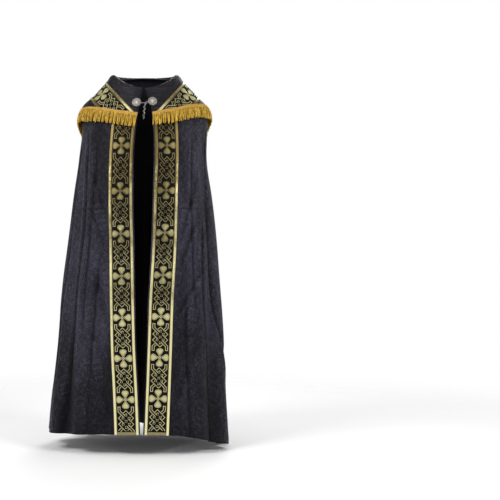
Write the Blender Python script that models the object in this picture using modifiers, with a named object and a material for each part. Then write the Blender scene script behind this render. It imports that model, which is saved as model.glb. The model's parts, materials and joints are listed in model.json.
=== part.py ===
"""A cope as it is worn: a long open cloak, its front orphreys, its fringed shoulder cape and its clasp.

Units are metres. The origin is where the wearer's neck and shoulders carry the garment, +Z is up and
the opening faces -Y. Left is -X, as the front view shows it.
"""

import math
from collections import namedtuple

import bmesh
import bpy
import numpy as np
from mathutils import Vector

# Driving sizes of the cloth
CLOTH = 0.002  # brocade with its lining
TRIM_CLOTH = 0.0008  # woven band or braid
GAP = 0.0004  # between pieces that are sewn together
EDGE_STRIP = 0.005  # plain cloth between the opening and the orphrey
BAND = 0.095  # orphrey width, over its two braids
BRAID = 0.011
BAND_END = EDGE_STRIP + BAND

# Driving sizes of the shoulder cape
CAPE_LIFT_NECK = CLOTH + 2 * GAP  # outer face of the cape above the cloak, at the neck seam
CAPE_LIFT = 0.0065  # the same below the seam, over the hidden ends of the orphreys
LIFT_RUN = 0.04
HEADER = 0.0125  # height of the fringe's woven heading
HEADER_THICK = 0.0016
HEADER_GAP = 0.0020  # it crosses the facets of the cape on a finer step
BEND_CLEAR = 0.0012
LOCK_LENGTH = 0.042
LOCK_WIDTH = 0.0098
LOCK_PITCH = 0.0148
LOCK_TAPER = 0.75

# The Y of bands on the cape. An arm's middle is where |x| - z + lean * y = centre, and it bends
# where it comes over the back of the shoulder.
Arm = namedtuple("Arm", "lean centre")
ARM_FRONT = Arm(0.2, 0.248)
ARM_BACK = Arm(-0.3, 0.194)
ARM_BEND_Y = 0.108
ARM_START = -0.150  # |x| + z where an arm ends, hidden under the medallion
STEM_TOP = -0.285
MEDALLION_Z = -0.221
MEDALLION_HALF_HEIGHT = 0.113
MEDALLION_HALF_WIDTH = 0.085
MEDALLION_CORD = 0.0040

# Each ring of the worn form: how far down the side it lies, its heights at four places, and its reach
Ring = namedtuple("Ring", "down front_z left_z right_z back_z left right front back square")
RINGS = [
    Ring(0.000, -0.071, -0.019, -0.019, -0.003, 0.112, 0.112, -0.118, 0.068, 2.00),
    Ring(0.022, -0.083, -0.003, -0.003, -0.001, 0.127, 0.127, -0.124, 0.080, 2.00),
    Ring(0.065, -0.106, -0.037, -0.037, -0.028, 0.156, 0.157, -0.134, 0.101, 2.00),
    Ring(0.130, -0.136, -0.088, -0.087, -0.074, 0.201, 0.203, -0.146, 0.124, 2.02),
    Ring(0.205, -0.176, -0.144, -0.144, -0.132, 0.245, 0.249, -0.161, 0.147, 2.06),
    Ring(0.240, -0.206, -0.179, -0.179, -0.170, 0.255, 0.258, -0.170, 0.160, 2.08),
    Ring(0.275, -0.236, -0.215, -0.215, -0.208, 0.256, 0.256, -0.180, 0.170, 2.10),
    Ring(0.390, -0.335, -0.330, -0.330, -0.330, 0.268, 0.253, -0.199, 0.198, 2.12),
    Ring(0.560, -0.500, -0.500, -0.500, -0.500, 0.292, 0.277, -0.218, 0.236, 2.15),
    Ring(0.775, -0.712, -0.715, -0.718, -0.715, 0.321, 0.301, -0.232, 0.274, 2.18),
    Ring(0.980, -0.912, -0.920, -0.932, -0.922, 0.345, 0.318, -0.243, 0.306, 2.20),
    Ring(1.185, -1.106, -1.125, -1.148, -1.130, 0.365, 0.331, -0.251, 0.334, 2.20),
    Ring(1.360, -1.277, -1.297, -1.334, -1.305, 0.389, 0.340, -0.257, 0.355, 2.20),
    Ring(1.515, -1.430, -1.449, -1.500, -1.462, 0.407, 0.351, -0.261, 0.372, 2.20),
]

# Where the two front edges run, at each height
Opening = namedtuple("Opening", "z left_x right_x")
OPENING = [
    Opening(-1.430, -0.0185, -0.0076),
    Opening(-1.290, -0.0236, -0.0022),
    Opening(-1.100, -0.0330, 0.0050),
    Opening(-0.911, -0.0376, 0.0114),
    Opening(-0.715, -0.0404, 0.0228),
    Opening(-0.500, -0.0450, 0.0300),
    Opening(-0.281, -0.0395, 0.0340),
    Opening(-0.200, -0.0310, 0.0295),
    Opening(-0.138, -0.0215, 0.0220),
    Opening(-0.100, -0.0135, 0.0095),
    Opening(-0.069, -0.0070, -0.0030),
]

# Folds of the cloak, as troughs in its face. around runs from -1 at the left orphrey, by 0 at the
# middle of the back, to 1 at the right orphrey; reach is half the width, on the same scale.
Fold = namedtuple("Fold", "around reach start depth")
FOLDS = [
    Fold(-0.945, 0.050, 0.480, 0.017),
    Fold(-0.775, 0.075, 0.210, 0.036),
    Fold(-0.615, 0.070, 0.420, 0.042),
    Fold(-0.455, 0.075, 0.330, 0.060),
    Fold(-0.300, 0.070, 0.380, 0.066),
    Fold(-0.150, 0.068, 0.340, 0.062),
    Fold(0.000, 0.072, 0.300, 0.074),
    Fold(0.155, 0.070, 0.360, 0.058),
    Fold(0.310, 0.072, 0.320, 0.068),
    Fold(0.460, 0.068, 0.400, 0.054),
    Fold(0.610, 0.070, 0.350, 0.048),
    Fold(0.775, 0.080, 0.230, 0.034),
    Fold(0.940, 0.052, 0.400, 0.020),
]

# Lower edge of the cape, from the middle of the back round to the opening, on each side
CapeEdge = namedtuple("CapeEdge", "around left_z right_z")
CAPE_EDGE = [
    CapeEdge(0.000, -0.495, -0.495),
    CapeEdge(0.070, -0.458, -0.458),
    CapeEdge(0.160, -0.409, -0.409),
    CapeEdge(0.270, -0.349, -0.349),
    CapeEdge(0.370, -0.291, -0.291),
    CapeEdge(0.460, -0.236, -0.230),
    CapeEdge(0.555, -0.182, -0.168),
    CapeEdge(0.650, -0.157, -0.142),
    CapeEdge(0.760, -0.152, -0.139),
    CapeEdge(0.900, -0.161, -0.150),
    CapeEdge(1.000, -0.171, -0.163),
    CapeEdge(1.0 + BAND_END, -0.185, -0.183),
]

# How far the cape stands off the shoulder, beyond its lift, near its lower edge
Flare = namedtuple("Flare", "around left right")
FLARES = [
    Flare(0.00, 0.000, 0.000),
    Flare(0.40, 0.001, 0.001),
    Flare(0.60, 0.009, 0.005),
    Flare(0.78, 0.010, 0.005),
    Flare(0.95, 0.002, 0.002),
    Flare(1.0 + BAND_END, 0.000, 0.000),
]
FLARE_FROM = 0.12
FLARE_TO = 0.21

# The clasp
DISC_RADIUS = 0.0183
DISC_THICK = 0.0026
DISC_LEFT = (-0.0335, -0.130)  # x and z of each disc's middle
DISC_RIGHT = (0.0300, -0.125)
JOINT = (-0.0022, -0.1330)  # x and z where the hook holds the eye
WIRE = 0.0013
EYE_HALF = 0.0036
LINK_WIDTH = 0.0046
TAIL_LINKS = 9
TAIL_LENGTH = 0.060
TAIL_SWAY = -0.0055

# The tassel at the cape's point
TASSEL_LOOP_Z = -0.4955
TASSEL_TOP_Z = -0.507
TASSEL_NECK_Z = -0.528
TASSEL_END_Z = -0.613
TASSEL_LOOP = 0.0010  # radii
TASSEL_HEAD = 0.0062
TASSEL_NECK = 0.0042
TASSEL_FLARE = 0.0140
TASSEL_STRANDS = 18
TASSEL_BEHIND = 0.0054  # its middle is this far behind the cape's face
TASSEL_LEAN = 0.13  # it lies on the cloak's slope

# How finely the solids are cut
ARC_STEPS = 841
MIDDLE_COLUMNS = 60
SHOULDER_ROW = 4  # the ring where the shoulder turns into the side
STEP = 0.002  # for slopes


def smooth_curve(xs, ys, at):
    """Values of a smooth curve through the points of a table."""
    xs = np.asarray(xs, float)
    ys = np.asarray(ys, float)
    at = np.clip(at, xs[0], xs[-1])
    slopes = np.gradient(ys, xs)
    i = np.clip(np.searchsorted(xs, at, side="right") - 1, 0, len(xs) - 2)
    span = xs[i + 1] - xs[i]
    t = (at - xs[i]) / span
    start = (1 + 2 * t) * (1 - t) ** 2 * ys[i] + t * (1 - t) ** 2 * span * slopes[i]
    end = t * t * (3 - 2 * t) * ys[i + 1] + t * t * (t - 1) * span * slopes[i + 1]
    return start + end


def ease(share):
    share = np.clip(share, 0.0, 1.0)
    return share * share * (3 - 2 * share)


def ring_at(down):
    """The ring's sizes at any distance down from the neck."""
    downs = [r.down for r in RINGS]
    columns = zip(*RINGS)
    return Ring(*(float(smooth_curve(downs, column, down)) for column in columns))


def form_row(down, around):
    """Points of the worn form at one distance down, for an array of places around it."""
    ring = ring_at(down)
    turn = np.radians(np.linspace(-30.0, 390.0, ARC_STEPS))
    s, c = np.sin(turn), np.cos(turn)
    power = 2.0 / ring.square
    x = np.where(s > 0, ring.right, ring.left) * np.sign(s) * np.abs(s) ** power
    y = np.where(c > 0, ring.front, ring.back) * np.abs(c) ** power
    side_z = np.where(s > 0, ring.right_z, ring.left_z)
    end_z = np.where(c > 0, ring.front_z, ring.back_z)
    z = side_z + (end_z - side_z) * c * c
    heights = [o.z for o in OPENING]
    left_x = smooth_curve(heights, [o.left_x for o in OPENING], ring.front_z)
    right_x = smooth_curve(heights, [o.right_x for o in OPENING], ring.front_z)
    quarter = ARC_STEPS // 7
    first = np.interp(right_x, x[:quarter], turn[:quarter])
    last = np.interp(left_x, x[-quarter:], turn[-quarter:])
    points = np.stack([x, y, z], axis=1)
    lengths = np.linalg.norm(np.diff(points, axis=0), axis=1)
    run = np.concatenate([[0.0], np.cumsum(lengths)])
    begin, back, end = np.interp([first, math.pi, last], turn, run)
    girth = end - begin
    marks = [-1 - BAND_END, -1, 0, 1, 1 + BAND_END]
    places = [girth, girth - BAND_END, back - begin, BAND_END, 0.0]
    place = begin + np.interp(around, marks, places)
    return np.stack([np.interp(place, run, points[:, k]) for k in range(3)], axis=1)


def form_out(down, around):
    """Outward directions of the worn form at the same places."""
    across = form_row(down, around + STEP) - form_row(down, around - STEP)
    below = form_row(down + STEP, around) - form_row(max(down - STEP, 0.0), around)
    out = np.cross(across, below)
    return out / np.linalg.norm(out, axis=1)[:, None]


def fold_depth(down, around):
    """How far the folds take the cloak's face inwards."""
    depth = np.zeros(len(around))
    for fold in FOLDS:
        grown = max(0.0, (down - fold.start) / (RINGS[-1].down - fold.start))
        near = np.clip((around - fold.around) / fold.reach, -1, 1)
        depth += fold.depth * grown**0.9 * np.cos(near * math.pi / 2) ** 2
    return depth


class Lattice:
    """The worn form's facets: columns run down from the neck, rows run round from opening to opening."""

    def __init__(self):
        edges = [EDGE_STRIP, EDGE_STRIP + BRAID, BAND_END / 2, BAND_END - BRAID, BAND_END]
        right = [1 + BAND_END - e for e in edges[::-1]]
        left = [-a for a in right[::-1]]
        middle = np.linspace(-1, 1, MIDDLE_COLUMNS + 1)[1:-1]
        self.around = np.array([-1 - BAND_END, *left, *middle, *right, 1 + BAND_END])
        self.band_columns = len(edges)
        self.form = np.array([form_row(r.down, self.around) for r in RINGS])
        self.outs = np.array([form_out(r.down, self.around) for r in RINGS])
        steps = np.linalg.norm(np.diff(self.form, axis=0), axis=2)
        run = np.concatenate([np.zeros((1, len(self.around))), np.cumsum(steps, axis=0)])
        lift = CAPE_LIFT_NECK + (CAPE_LIFT - CAPE_LIFT_NECK) * ease(run / LIFT_RUN)
        flare = self.by_side(FLARES)
        lift = lift + flare * ease((run - FLARE_FROM) / (FLARE_TO - FLARE_FROM))
        self.cape = self.form + self.outs * lift[:, :, None]
        self.edge_z = self.by_side(CAPE_EDGE)
        edge = np.array([self.at_height(a, z)[0] for a, z in zip(self.around, self.edge_z)])
        across = np.diff(edge, axis=0)
        slope = np.linalg.norm(across, axis=1) / np.linalg.norm(across[:, :2], axis=1)
        slope = np.concatenate([slope[:1], (slope[1:] + slope[:-1]) / 2, slope[-1:]])
        self.header_z = self.edge_z + HEADER * slope

    def by_side(self, table):
        """A table's left and right values over the columns."""
        places, left, right = zip(*table)
        away = abs(self.around)
        return np.where(
            self.around < 0, smooth_curve(places, left, away), smooth_curve(places, right, away)
        )

    def cloak(self):
        """Outer face of the cloak: the form with its folds taken in."""
        depth = np.array([fold_depth(r.down, self.around) for r in RINGS])
        return self.form - self.outs * depth[:, :, None]

    def column(self, place):
        """The line that the cape's facets follow at one place around, with its outward directions."""
        j = int(np.clip(np.searchsorted(self.around, place, side="right") - 1, 0, len(self.around) - 2))
        share = (place - self.around[j]) / (self.around[j + 1] - self.around[j])
        line, outs = [], []
        for i in range(len(RINGS)):
            for grid, found in ((self.cape, line), (self.outs, outs)):
                found.append(grid[i, j] + (grid[i, j + 1] - grid[i, j]) * share)
                if i + 1 < len(RINGS):
                    found.append(grid[i, j] + (grid[i + 1, j + 1] - grid[i, j]) * share)
        return np.array(line), np.array(outs)

    def at_height(self, place, z, lift=0.0):
        """The cape's face at one place around and one height, moved out by lift, and its direction."""
        line, outs = self.column(place)
        top = int(np.argmax(line[:, 2]))
        line, outs = line[top:], outs[top:]
        point = np.array([np.interp(-z, -line[:, 2], line[:, k]) for k in range(3)])
        out = np.array([np.interp(-z, -line[:, 2], outs[:, k]) for k in range(3)])
        out = out / np.linalg.norm(out)
        return point + out * lift, out

    def at_side(self, x, z, low, high):
        """The cape's face at this x and z, found between two places around."""
        for _ in range(30):
            middle = (low + high) / 2
            ahead = self.at_height(middle, z)[0][0] - x
            if (self.at_height(low, z)[0][0] - x) * ahead > 0:
                low = middle
            else:
                high = middle
        return self.at_height((low + high) / 2, z)


def material(name, colour, roughness, metallic=0.0):
    made = bpy.data.materials.new(name)
    made.use_nodes = True
    shader = made.node_tree.nodes["Principled BSDF"]
    shader.inputs["Base Color"].default_value = (*colour, 1.0)
    shader.inputs["Roughness"].default_value = roughness
    shader.inputs["Metallic"].default_value = metallic
    return made


def add_object(name, data, finish, collection):
    made = bpy.data.objects.new(name, data)
    data.materials.append(finish)
    collection.objects.link(made)
    return made


def thicken(piece, thickness, outwards):
    """Solidify, with the drawn face kept as the inner or the outer one."""
    wall = piece.modifiers.new("wall", "SOLIDIFY")
    wall.thickness = thickness
    wall.offset = 1.0 if outwards else -1.0
    return piece


def grid_faces(bm, points, holes=()):
    """Faces over rows and columns of points, each cell cut along the same diagonal."""
    rows, columns = points.shape[:2]
    verts = [[bm.verts.new(points[i, j]) for j in range(columns)] for i in range(rows)]
    for i in range(rows - 1):
        for j in range(columns - 1):
            if (i, j) not in holes:
                a, b = verts[i][j], verts[i][j + 1]
                c, d = verts[i + 1][j + 1], verts[i + 1][j]
                bm.faces.new((a, b, c))
                bm.faces.new((a, c, d))
    return verts


def grid_mesh(name, points, holes=()):
    """An open mesh over a grid of points; holes are cells left out."""
    bm = bmesh.new()
    grid_faces(bm, points, holes)
    bmesh.ops.delete(bm, geom=[v for v in bm.verts if not v.link_faces], context="VERTS")
    mesh = bpy.data.meshes.new(name)
    bm.to_mesh(mesh)
    bm.free()
    return mesh


def cut_faces(bm, faces, place, normal):
    """Cut some faces by a plane and delete what lies on the side its normal points to."""
    faces = set(faces)
    geom = list(faces | {e for f in faces for e in f.edges} | {v for f in faces for v in f.verts})
    done = bmesh.ops.bisect_plane(bm, geom=geom, dist=2e-5, plane_co=place, plane_no=normal)
    pieces = [f for f in done["geom"] if isinstance(f, bmesh.types.BMFace)]
    outside = [f for f in pieces if (f.calc_center_median() - place).dot(normal) > 0]
    bmesh.ops.delete(bm, geom=outside, context="FACES")


def cape_mesh(name, lattice, bottom_z, lift, cuts=()):
    """Part of the cape's face: what lies above bottom_z and inside the planes, moved out by lift.

    A cut is a place, a normal and the lowest and highest y of the faces that it applies to.
    """
    bm = bmesh.new()
    layer = bm.verts.layers.float_vector.new("out")
    verts = grid_faces(bm, lattice.cape)
    for i, row in enumerate(verts):
        for j, v in enumerate(row):
            v[layer] = Vector(lattice.outs[i, j])
    strips = [
        [f for i in range(len(RINGS) - 1) for f in verts[i][j].link_faces if verts[i + 1][j + 1] in f.verts]
        for j in range(len(lattice.around) - 1)
    ]
    low = [lattice.at_height(a, z) for a, z in zip(lattice.around, bottom_z)]
    for j, faces in enumerate(strips):
        start, end = Vector(low[j][0]), Vector(low[j + 1][0])
        out = Vector(low[j][1] + low[j + 1][1])
        cut_faces(bm, faces, start, out.cross(end - start).normalized())
    for place, normal, low_y, high_y in cuts:
        faces = [f for f in bm.faces if low_y < f.calc_center_median().y < high_y]
        cut_faces(bm, faces, place, normal.normalized())
    bmesh.ops.triangulate(bm, faces=list(bm.faces))
    bmesh.ops.remove_doubles(bm, verts=list(bm.verts), dist=3e-4)
    for v in bm.verts:
        v.co = v.co + v[layer].normalized() * lift
    mesh = bpy.data.meshes.new(name)
    bm.to_mesh(mesh)
    bm.free()
    return mesh


def tube(name, points, radius, finish, collection, closed=False, sides=1):
    """A wire along points: a curve with a round bevel and filled caps."""
    data = bpy.data.curves.new(name, "CURVE")
    data.dimensions = "3D"
    data.bevel_depth = radius
    data.bevel_resolution = sides
    data.use_fill_caps = not closed
    spline = data.splines.new("POLY")
    spline.points.add(len(points) - 1)
    for place, point in zip(spline.points, points):
        place.co = (*point, 1.0)
    spline.use_cyclic_u = closed
    return add_object(name, data, finish, collection)


def build_cloak(parts, lattice, brocade, galloon, braid):
    """The cloak's wall, its two front orphreys and the braid that frames each of them."""
    points = lattice.cloak()
    cloak = add_object("cloak", grid_mesh("cloak", points), brocade, parts)
    thicken(cloak, CLOTH, outwards=False)
    count = lattice.band_columns
    for side, first in (("left", 1), ("right", points.shape[1] - 1 - count)):
        face = points[2:, first : first + count]
        out = lattice.outs[2:, first : first + count]
        piece = add_object(f"front_orphrey_{side}", grid_mesh("band", face + out * GAP), galloon, parts)
        thicken(piece, TRIM_CLOTH, outwards=True)
        frame = framed_mesh(face, out, 2 * GAP + TRIM_CLOTH)
        thicken(add_object(f"front_braid_{side}", frame, braid, parts), TRIM_CLOTH, outwards=True)


def framed_mesh(face, out, lift):
    """The braid round an orphrey: down one edge, along the hem and up the other edge, in one piece."""
    above_hem = face[-1] + (face[-2] - face[-1]) * BRAID / np.linalg.norm(face[-2] - face[-1], axis=1)[:, None]
    points = np.concatenate([face[:-1], above_hem[None], face[-1:]])
    outs = np.concatenate([out[:-1], out[-1:], out[-1:]])
    rows, columns = points.shape[:2]
    holes = {(i, j) for i in range(rows - 2) for j in range(1, columns - 2)}
    return grid_mesh("braid", points + outs * lift, holes)


def arm_cuts(side, near, far):
    """Cuts that leave an arm of the Y, or a braid of it, between two offsets from the arm's middle."""
    cuts = []
    for arm, low_y, high_y in ((ARM_FRONT, -1.0, ARM_BEND_Y), (ARM_BACK, ARM_BEND_Y, 1.0)):
        normal = Vector((side, arm.lean, -1.0))
        for offset, facing in ((near, -1.0), (far, 1.0)):
            reach = (arm.centre + offset * normal.length) / normal.length_squared
            cuts.append((normal * reach, normal * facing, low_y, high_y))
    cuts.append((Vector((0, 0, ARM_START)), Vector((-side, 0, -1)), 0.0, 1.0))
    cuts.append((Vector((side * 0.004, 0, 0)), Vector((-side, 0, 0)), -1.0, 1.0))
    return cuts


def build_cape(parts, lattice, brocade, galloon, braid):
    """The shoulder cape, the Y of bands on its back and the medallion over their joint."""
    mesh = cape_mesh("cape", lattice, lattice.edge_z, 0.0)
    thicken(add_object("shoulder_cape", mesh, brocade, parts), CLOTH, outwards=False)

    half = BAND / 2
    band_lift, braid_lift = GAP, 2 * GAP + TRIM_CLOTH
    trim_z = lattice.header_z + GAP
    pieces = []
    for name, side in (("left", -1), ("right", 1)):
        strips = [
            (f"cape_arm_{name}", -half, half, band_lift, galloon),
            (f"cape_arm_braid_upper_{name}", -half, BRAID - half, braid_lift, braid),
            (f"cape_arm_braid_lower_{name}", half - BRAID, half, braid_lift, braid),
        ]
        for node, near, far, lift, finish in strips:
            pieces.append((node, arm_cuts(side, near, far), lift, finish))
    back = (-1.0, 1.0)
    front_gone = (Vector((0, 0.03, 0)), Vector((0, -1, 0)), *back)
    strips = [
        ("cape_stem", -half, half, band_lift, galloon),
        ("cape_stem_braid_left", -half, BRAID - half, braid_lift, braid),
        ("cape_stem_braid_right", half - BRAID, half, braid_lift, braid),
    ]
    for node, near, far, lift, finish in strips:
        cuts = [
            front_gone,
            (Vector((near, 0, 0)), Vector((-1, 0, 0)), *back),
            (Vector((far, 0, 0)), Vector((1, 0, 0)), *back),
            (Vector((0, 0, STEM_TOP)), Vector((0, 0, 1)), *back),
        ]
        pieces.append((node, cuts, lift, finish))
    patch_lift = braid_lift + TRIM_CLOTH + GAP
    outline = medallion_outline(MEDALLION_HALF_WIDTH, MEDALLION_HALF_HEIGHT, 5)
    cuts = [front_gone] + [
        (Vector((x0, 0, z0)), Vector((z1 - z0, 0, x0 - x1)), *back)
        for (x0, z0), (x1, z1) in zip(outline, outline[1:] + outline[:1])
    ]
    pieces.append(("cape_medallion", cuts, patch_lift, galloon))
    for node, cuts, lift, finish in pieces:
        piece = add_object(node, cape_mesh(node, lattice, trim_z, lift, cuts), finish, parts)
        thicken(piece, TRIM_CLOTH, outwards=True)

    inset = MEDALLION_CORD
    rim = medallion_outline(MEDALLION_HALF_WIDTH - inset, MEDALLION_HALF_HEIGHT - inset * 1.4, 11)
    lift = patch_lift + TRIM_CLOTH + GAP + MEDALLION_CORD / 2
    cord = []
    for x, z in rim:
        point, out = lattice.at_side(x, z, -0.5, 0.5)
        cord.append(Vector(point + out * (lift + 0.0004)))
    tube("medallion_cord", cord, MEDALLION_CORD / 2, braid, parts, closed=True)


def medallion_outline(half_width, half_height, steps):
    """Corners of the pointed oval, clockwise as seen from behind the wearer: two arcs that meet in points."""
    radius = (half_height**2 + half_width**2) / (2 * half_width)
    swing = math.asin(half_height / radius)
    arc = []
    for k in range(steps):
        angle = -swing + 2 * swing * k / steps
        arc.append((radius * math.cos(angle) - (radius - half_width), MEDALLION_Z + radius * math.sin(angle)))
    other = [(-x, 2 * MEDALLION_Z - z) for x, z in arc]
    return arc + other


def build_fringe(parts, lattice, fringe_gold):
    """The heading along the cape's lower edge and its hanging locks, in one closed mesh."""
    fine = np.linspace(-1 - BAND_END + 0.001, 1 + BAND_END - 0.001, 1201)
    edge_z = np.interp(fine, lattice.around, lattice.edge_z)
    edge = np.array([lattice.at_height(a, z)[0] for a, z in zip(fine, edge_z)])
    run = np.concatenate([[0.0], np.cumsum(np.linalg.norm(np.diff(edge, axis=0), axis=1))])
    locks = int(run[-1] / LOCK_PITCH)
    starts = (np.arange(locks) + 0.5) * run[-1] / locks - LOCK_WIDTH / 2
    marks = np.concatenate([[0.0], np.stack([starts, starts + LOCK_WIDTH], axis=1).ravel(), run[-1:]])
    places = np.interp(marks, run, fine)
    foot_z = np.interp(places, lattice.around, lattice.edge_z)
    head_z = np.interp(places, lattice.around, lattice.header_z)
    shoulder_z = np.interp(places, lattice.around, lattice.cape[SHOULDER_ROW, :, 2])
    near, far = HEADER_GAP, HEADER_GAP + HEADER_THICK
    last = len(marks) - 1

    bm = bmesh.new()
    low_in, low_out, top_in, top_out, bend_in, bend_out = [], [], [], [], [], []
    for j, place in enumerate(places):
        bends = foot_z[j] + BEND_CLEAR < shoulder_z[j] < head_z[j] - BEND_CLEAR
        for verts, lift, z in (
            (low_in, near, foot_z[j]),
            (low_out, far, foot_z[j]),
            (top_in, near, head_z[j]),
            (top_out, far, head_z[j]),
            (bend_in, near, shoulder_z[j] if bends else None),
            (bend_out, far, shoulder_z[j] if bends else None),
        ):
            verts.append(bm.verts.new(lattice.at_height(place, z, lift)[0]) if z else None)
    for j in (0, last):
        end = (low_in[j], low_out[j], bend_out[j], top_out[j], top_in[j], bend_in[j])
        bm.faces.new([v for v in end if v])
    for j in range(last):
        n = j + 1
        for low, bend, top in ((low_out, bend_out, top_out), (low_in, bend_in, top_in)):
            if bend[j] and bend[n]:
                bm.faces.new((low[j], low[n], bend[n], bend[j]))
                bm.faces.new((bend[j], bend[n], top[n], top[j]))
            else:
                bm.faces.new([v for v in (low[j], low[n], bend[n], top[n], top[j], bend[j]) if v])
        bm.faces.new((top_in[j], top_out[j], top_out[n], top_in[n]))
        root = [low_in[j], low_in[n], low_out[n], low_out[j]]
        if j % 2 == 0:
            bm.faces.new(root)
            continue
        hang = LOCK_LENGTH + 0.003 * math.sin(j * 2.3)
        middle = (places[j] + places[n]) / 2
        mean_z = (foot_z[j] + foot_z[n]) / 2
        tips = []
        for k, lift in ((j, near), (n, near), (n, far), (j, far)):
            place = middle + (places[k] - middle) * LOCK_TAPER
            end_z = mean_z + (foot_z[k] - mean_z) * 0.3 - hang
            tips.append(bm.verts.new(lattice.at_height(place, end_z, lift + 0.0004)[0]))
        for a in range(4):
            b = (a + 1) % 4
            bm.faces.new((root[a], root[b], tips[b], tips[a]))
        bm.faces.new(tips)
    bmesh.ops.recalc_face_normals(bm, faces=list(bm.faces))
    mesh = bpy.data.meshes.new("fringe")
    bm.to_mesh(mesh)
    bm.free()
    add_object("cape_fringe", mesh, fringe_gold, parts)


def build_tassel(parts, lattice, tassel_gold):
    """A bound head that opens into a skirt of strands, hung under the cape's point."""
    top_y = lattice.at_height(0.0, TASSEL_TOP_Z)[0][1] - TASSEL_BEHIND

    loop_forward = lattice.at_height(0.0, TASSEL_LOOP_Z)[0][1] - CLOTH / 2 - top_y

    def lean(z):
        return top_y + TASSEL_LEAN * max(0.0, TASSEL_TOP_Z - z)

    sides = 2 * TASSEL_STRANDS
    bm = bmesh.new()
    rings = [
        (TASSEL_LOOP_Z, TASSEL_LOOP, loop_forward),
        (TASSEL_TOP_Z + 0.003, TASSEL_LOOP, loop_forward * 0.3),
        (TASSEL_TOP_Z, TASSEL_HEAD * 0.45, 0.0),
        (TASSEL_TOP_Z - 0.004, TASSEL_HEAD * 0.9, 0.0),
        (TASSEL_TOP_Z - 0.011, TASSEL_HEAD, 0.0),
        (TASSEL_NECK_Z, TASSEL_NECK, 0.0),
        (TASSEL_NECK_Z - 0.006, TASSEL_NECK * 1.3, 0.0),
    ]
    flat = 0.75  # front to back over side to side
    loops = []
    for z, radius, forward in rings:
        loop = []
        for k in range(sides):
            turn = 2 * math.pi * (k + 0.5) / sides
            loop.append(
                bm.verts.new(
                    (radius * math.cos(turn), lean(z) + forward + flat * radius * math.sin(turn), z)
                )
            )
        loops.append(loop)
    bm.faces.new(loops[0])
    for upper, lower in zip(loops, loops[1:]):
        for k in range(sides):
            n = (k + 1) % sides
            bm.faces.new((upper[k], upper[n], lower[n], lower[k]))
    root = loops[-1]
    root_y = lean(rings[-1][0])
    core = bm.verts.new((0, root_y, rings[-1][0]))
    for k in range(sides):
        n = (k + 1) % sides
        if k % 2:
            bm.faces.new((root[k], root[n], core))
            continue
        tips = []
        for v, inward in ((root[k], 1.0), (root[n], 1.0), (core, 0.8)):
            source = (root[k].co + root[n].co) / 2
            spread = Vector((source.x, source.y - root_y, 0)).normalized()
            half_width = (v.co - source) * 1.7 if v is not core else Vector((0, 0, 0))
            reach = TASSEL_FLARE * (1.0 if v is not core else inward)
            length = TASSEL_END_Z + 0.002 * math.sin(k * 1.9)
            tips.append(
                bm.verts.new(
                    (
                        spread.x * reach + half_width.x,
                        lean(length) + flat * 0.62 * spread.y * reach + half_width.y,
                        length,
                    )
                )
            )
        corners = [root[k], root[n], core]
        for a in range(3):
            b = (a + 1) % 3
            bm.faces.new((corners[a], corners[b], tips[b], tips[a]))
        bm.faces.new(tips)
    bmesh.ops.recalc_face_normals(bm, faces=list(bm.faces))
    mesh = bpy.data.meshes.new("tassel")
    bm.to_mesh(mesh)
    bm.free()
    return add_object("cape_tassel", mesh, tassel_gold, parts)


def disc_profile():
    """Half outline of a clasp disc, from the middle of its face to the middle of its back."""
    r, t = DISC_RADIUS, DISC_THICK
    return [
        (0.0, t + 0.0012),
        (r * 0.22, t + 0.0010),
        (r * 0.34, t * 0.75),
        (r * 0.72, t * 0.80),
        (r * 0.86, t + 0.0004),
        (r, t * 0.70),
        (r, 0.0),
        (0.0, 0.0),
    ]


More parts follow.
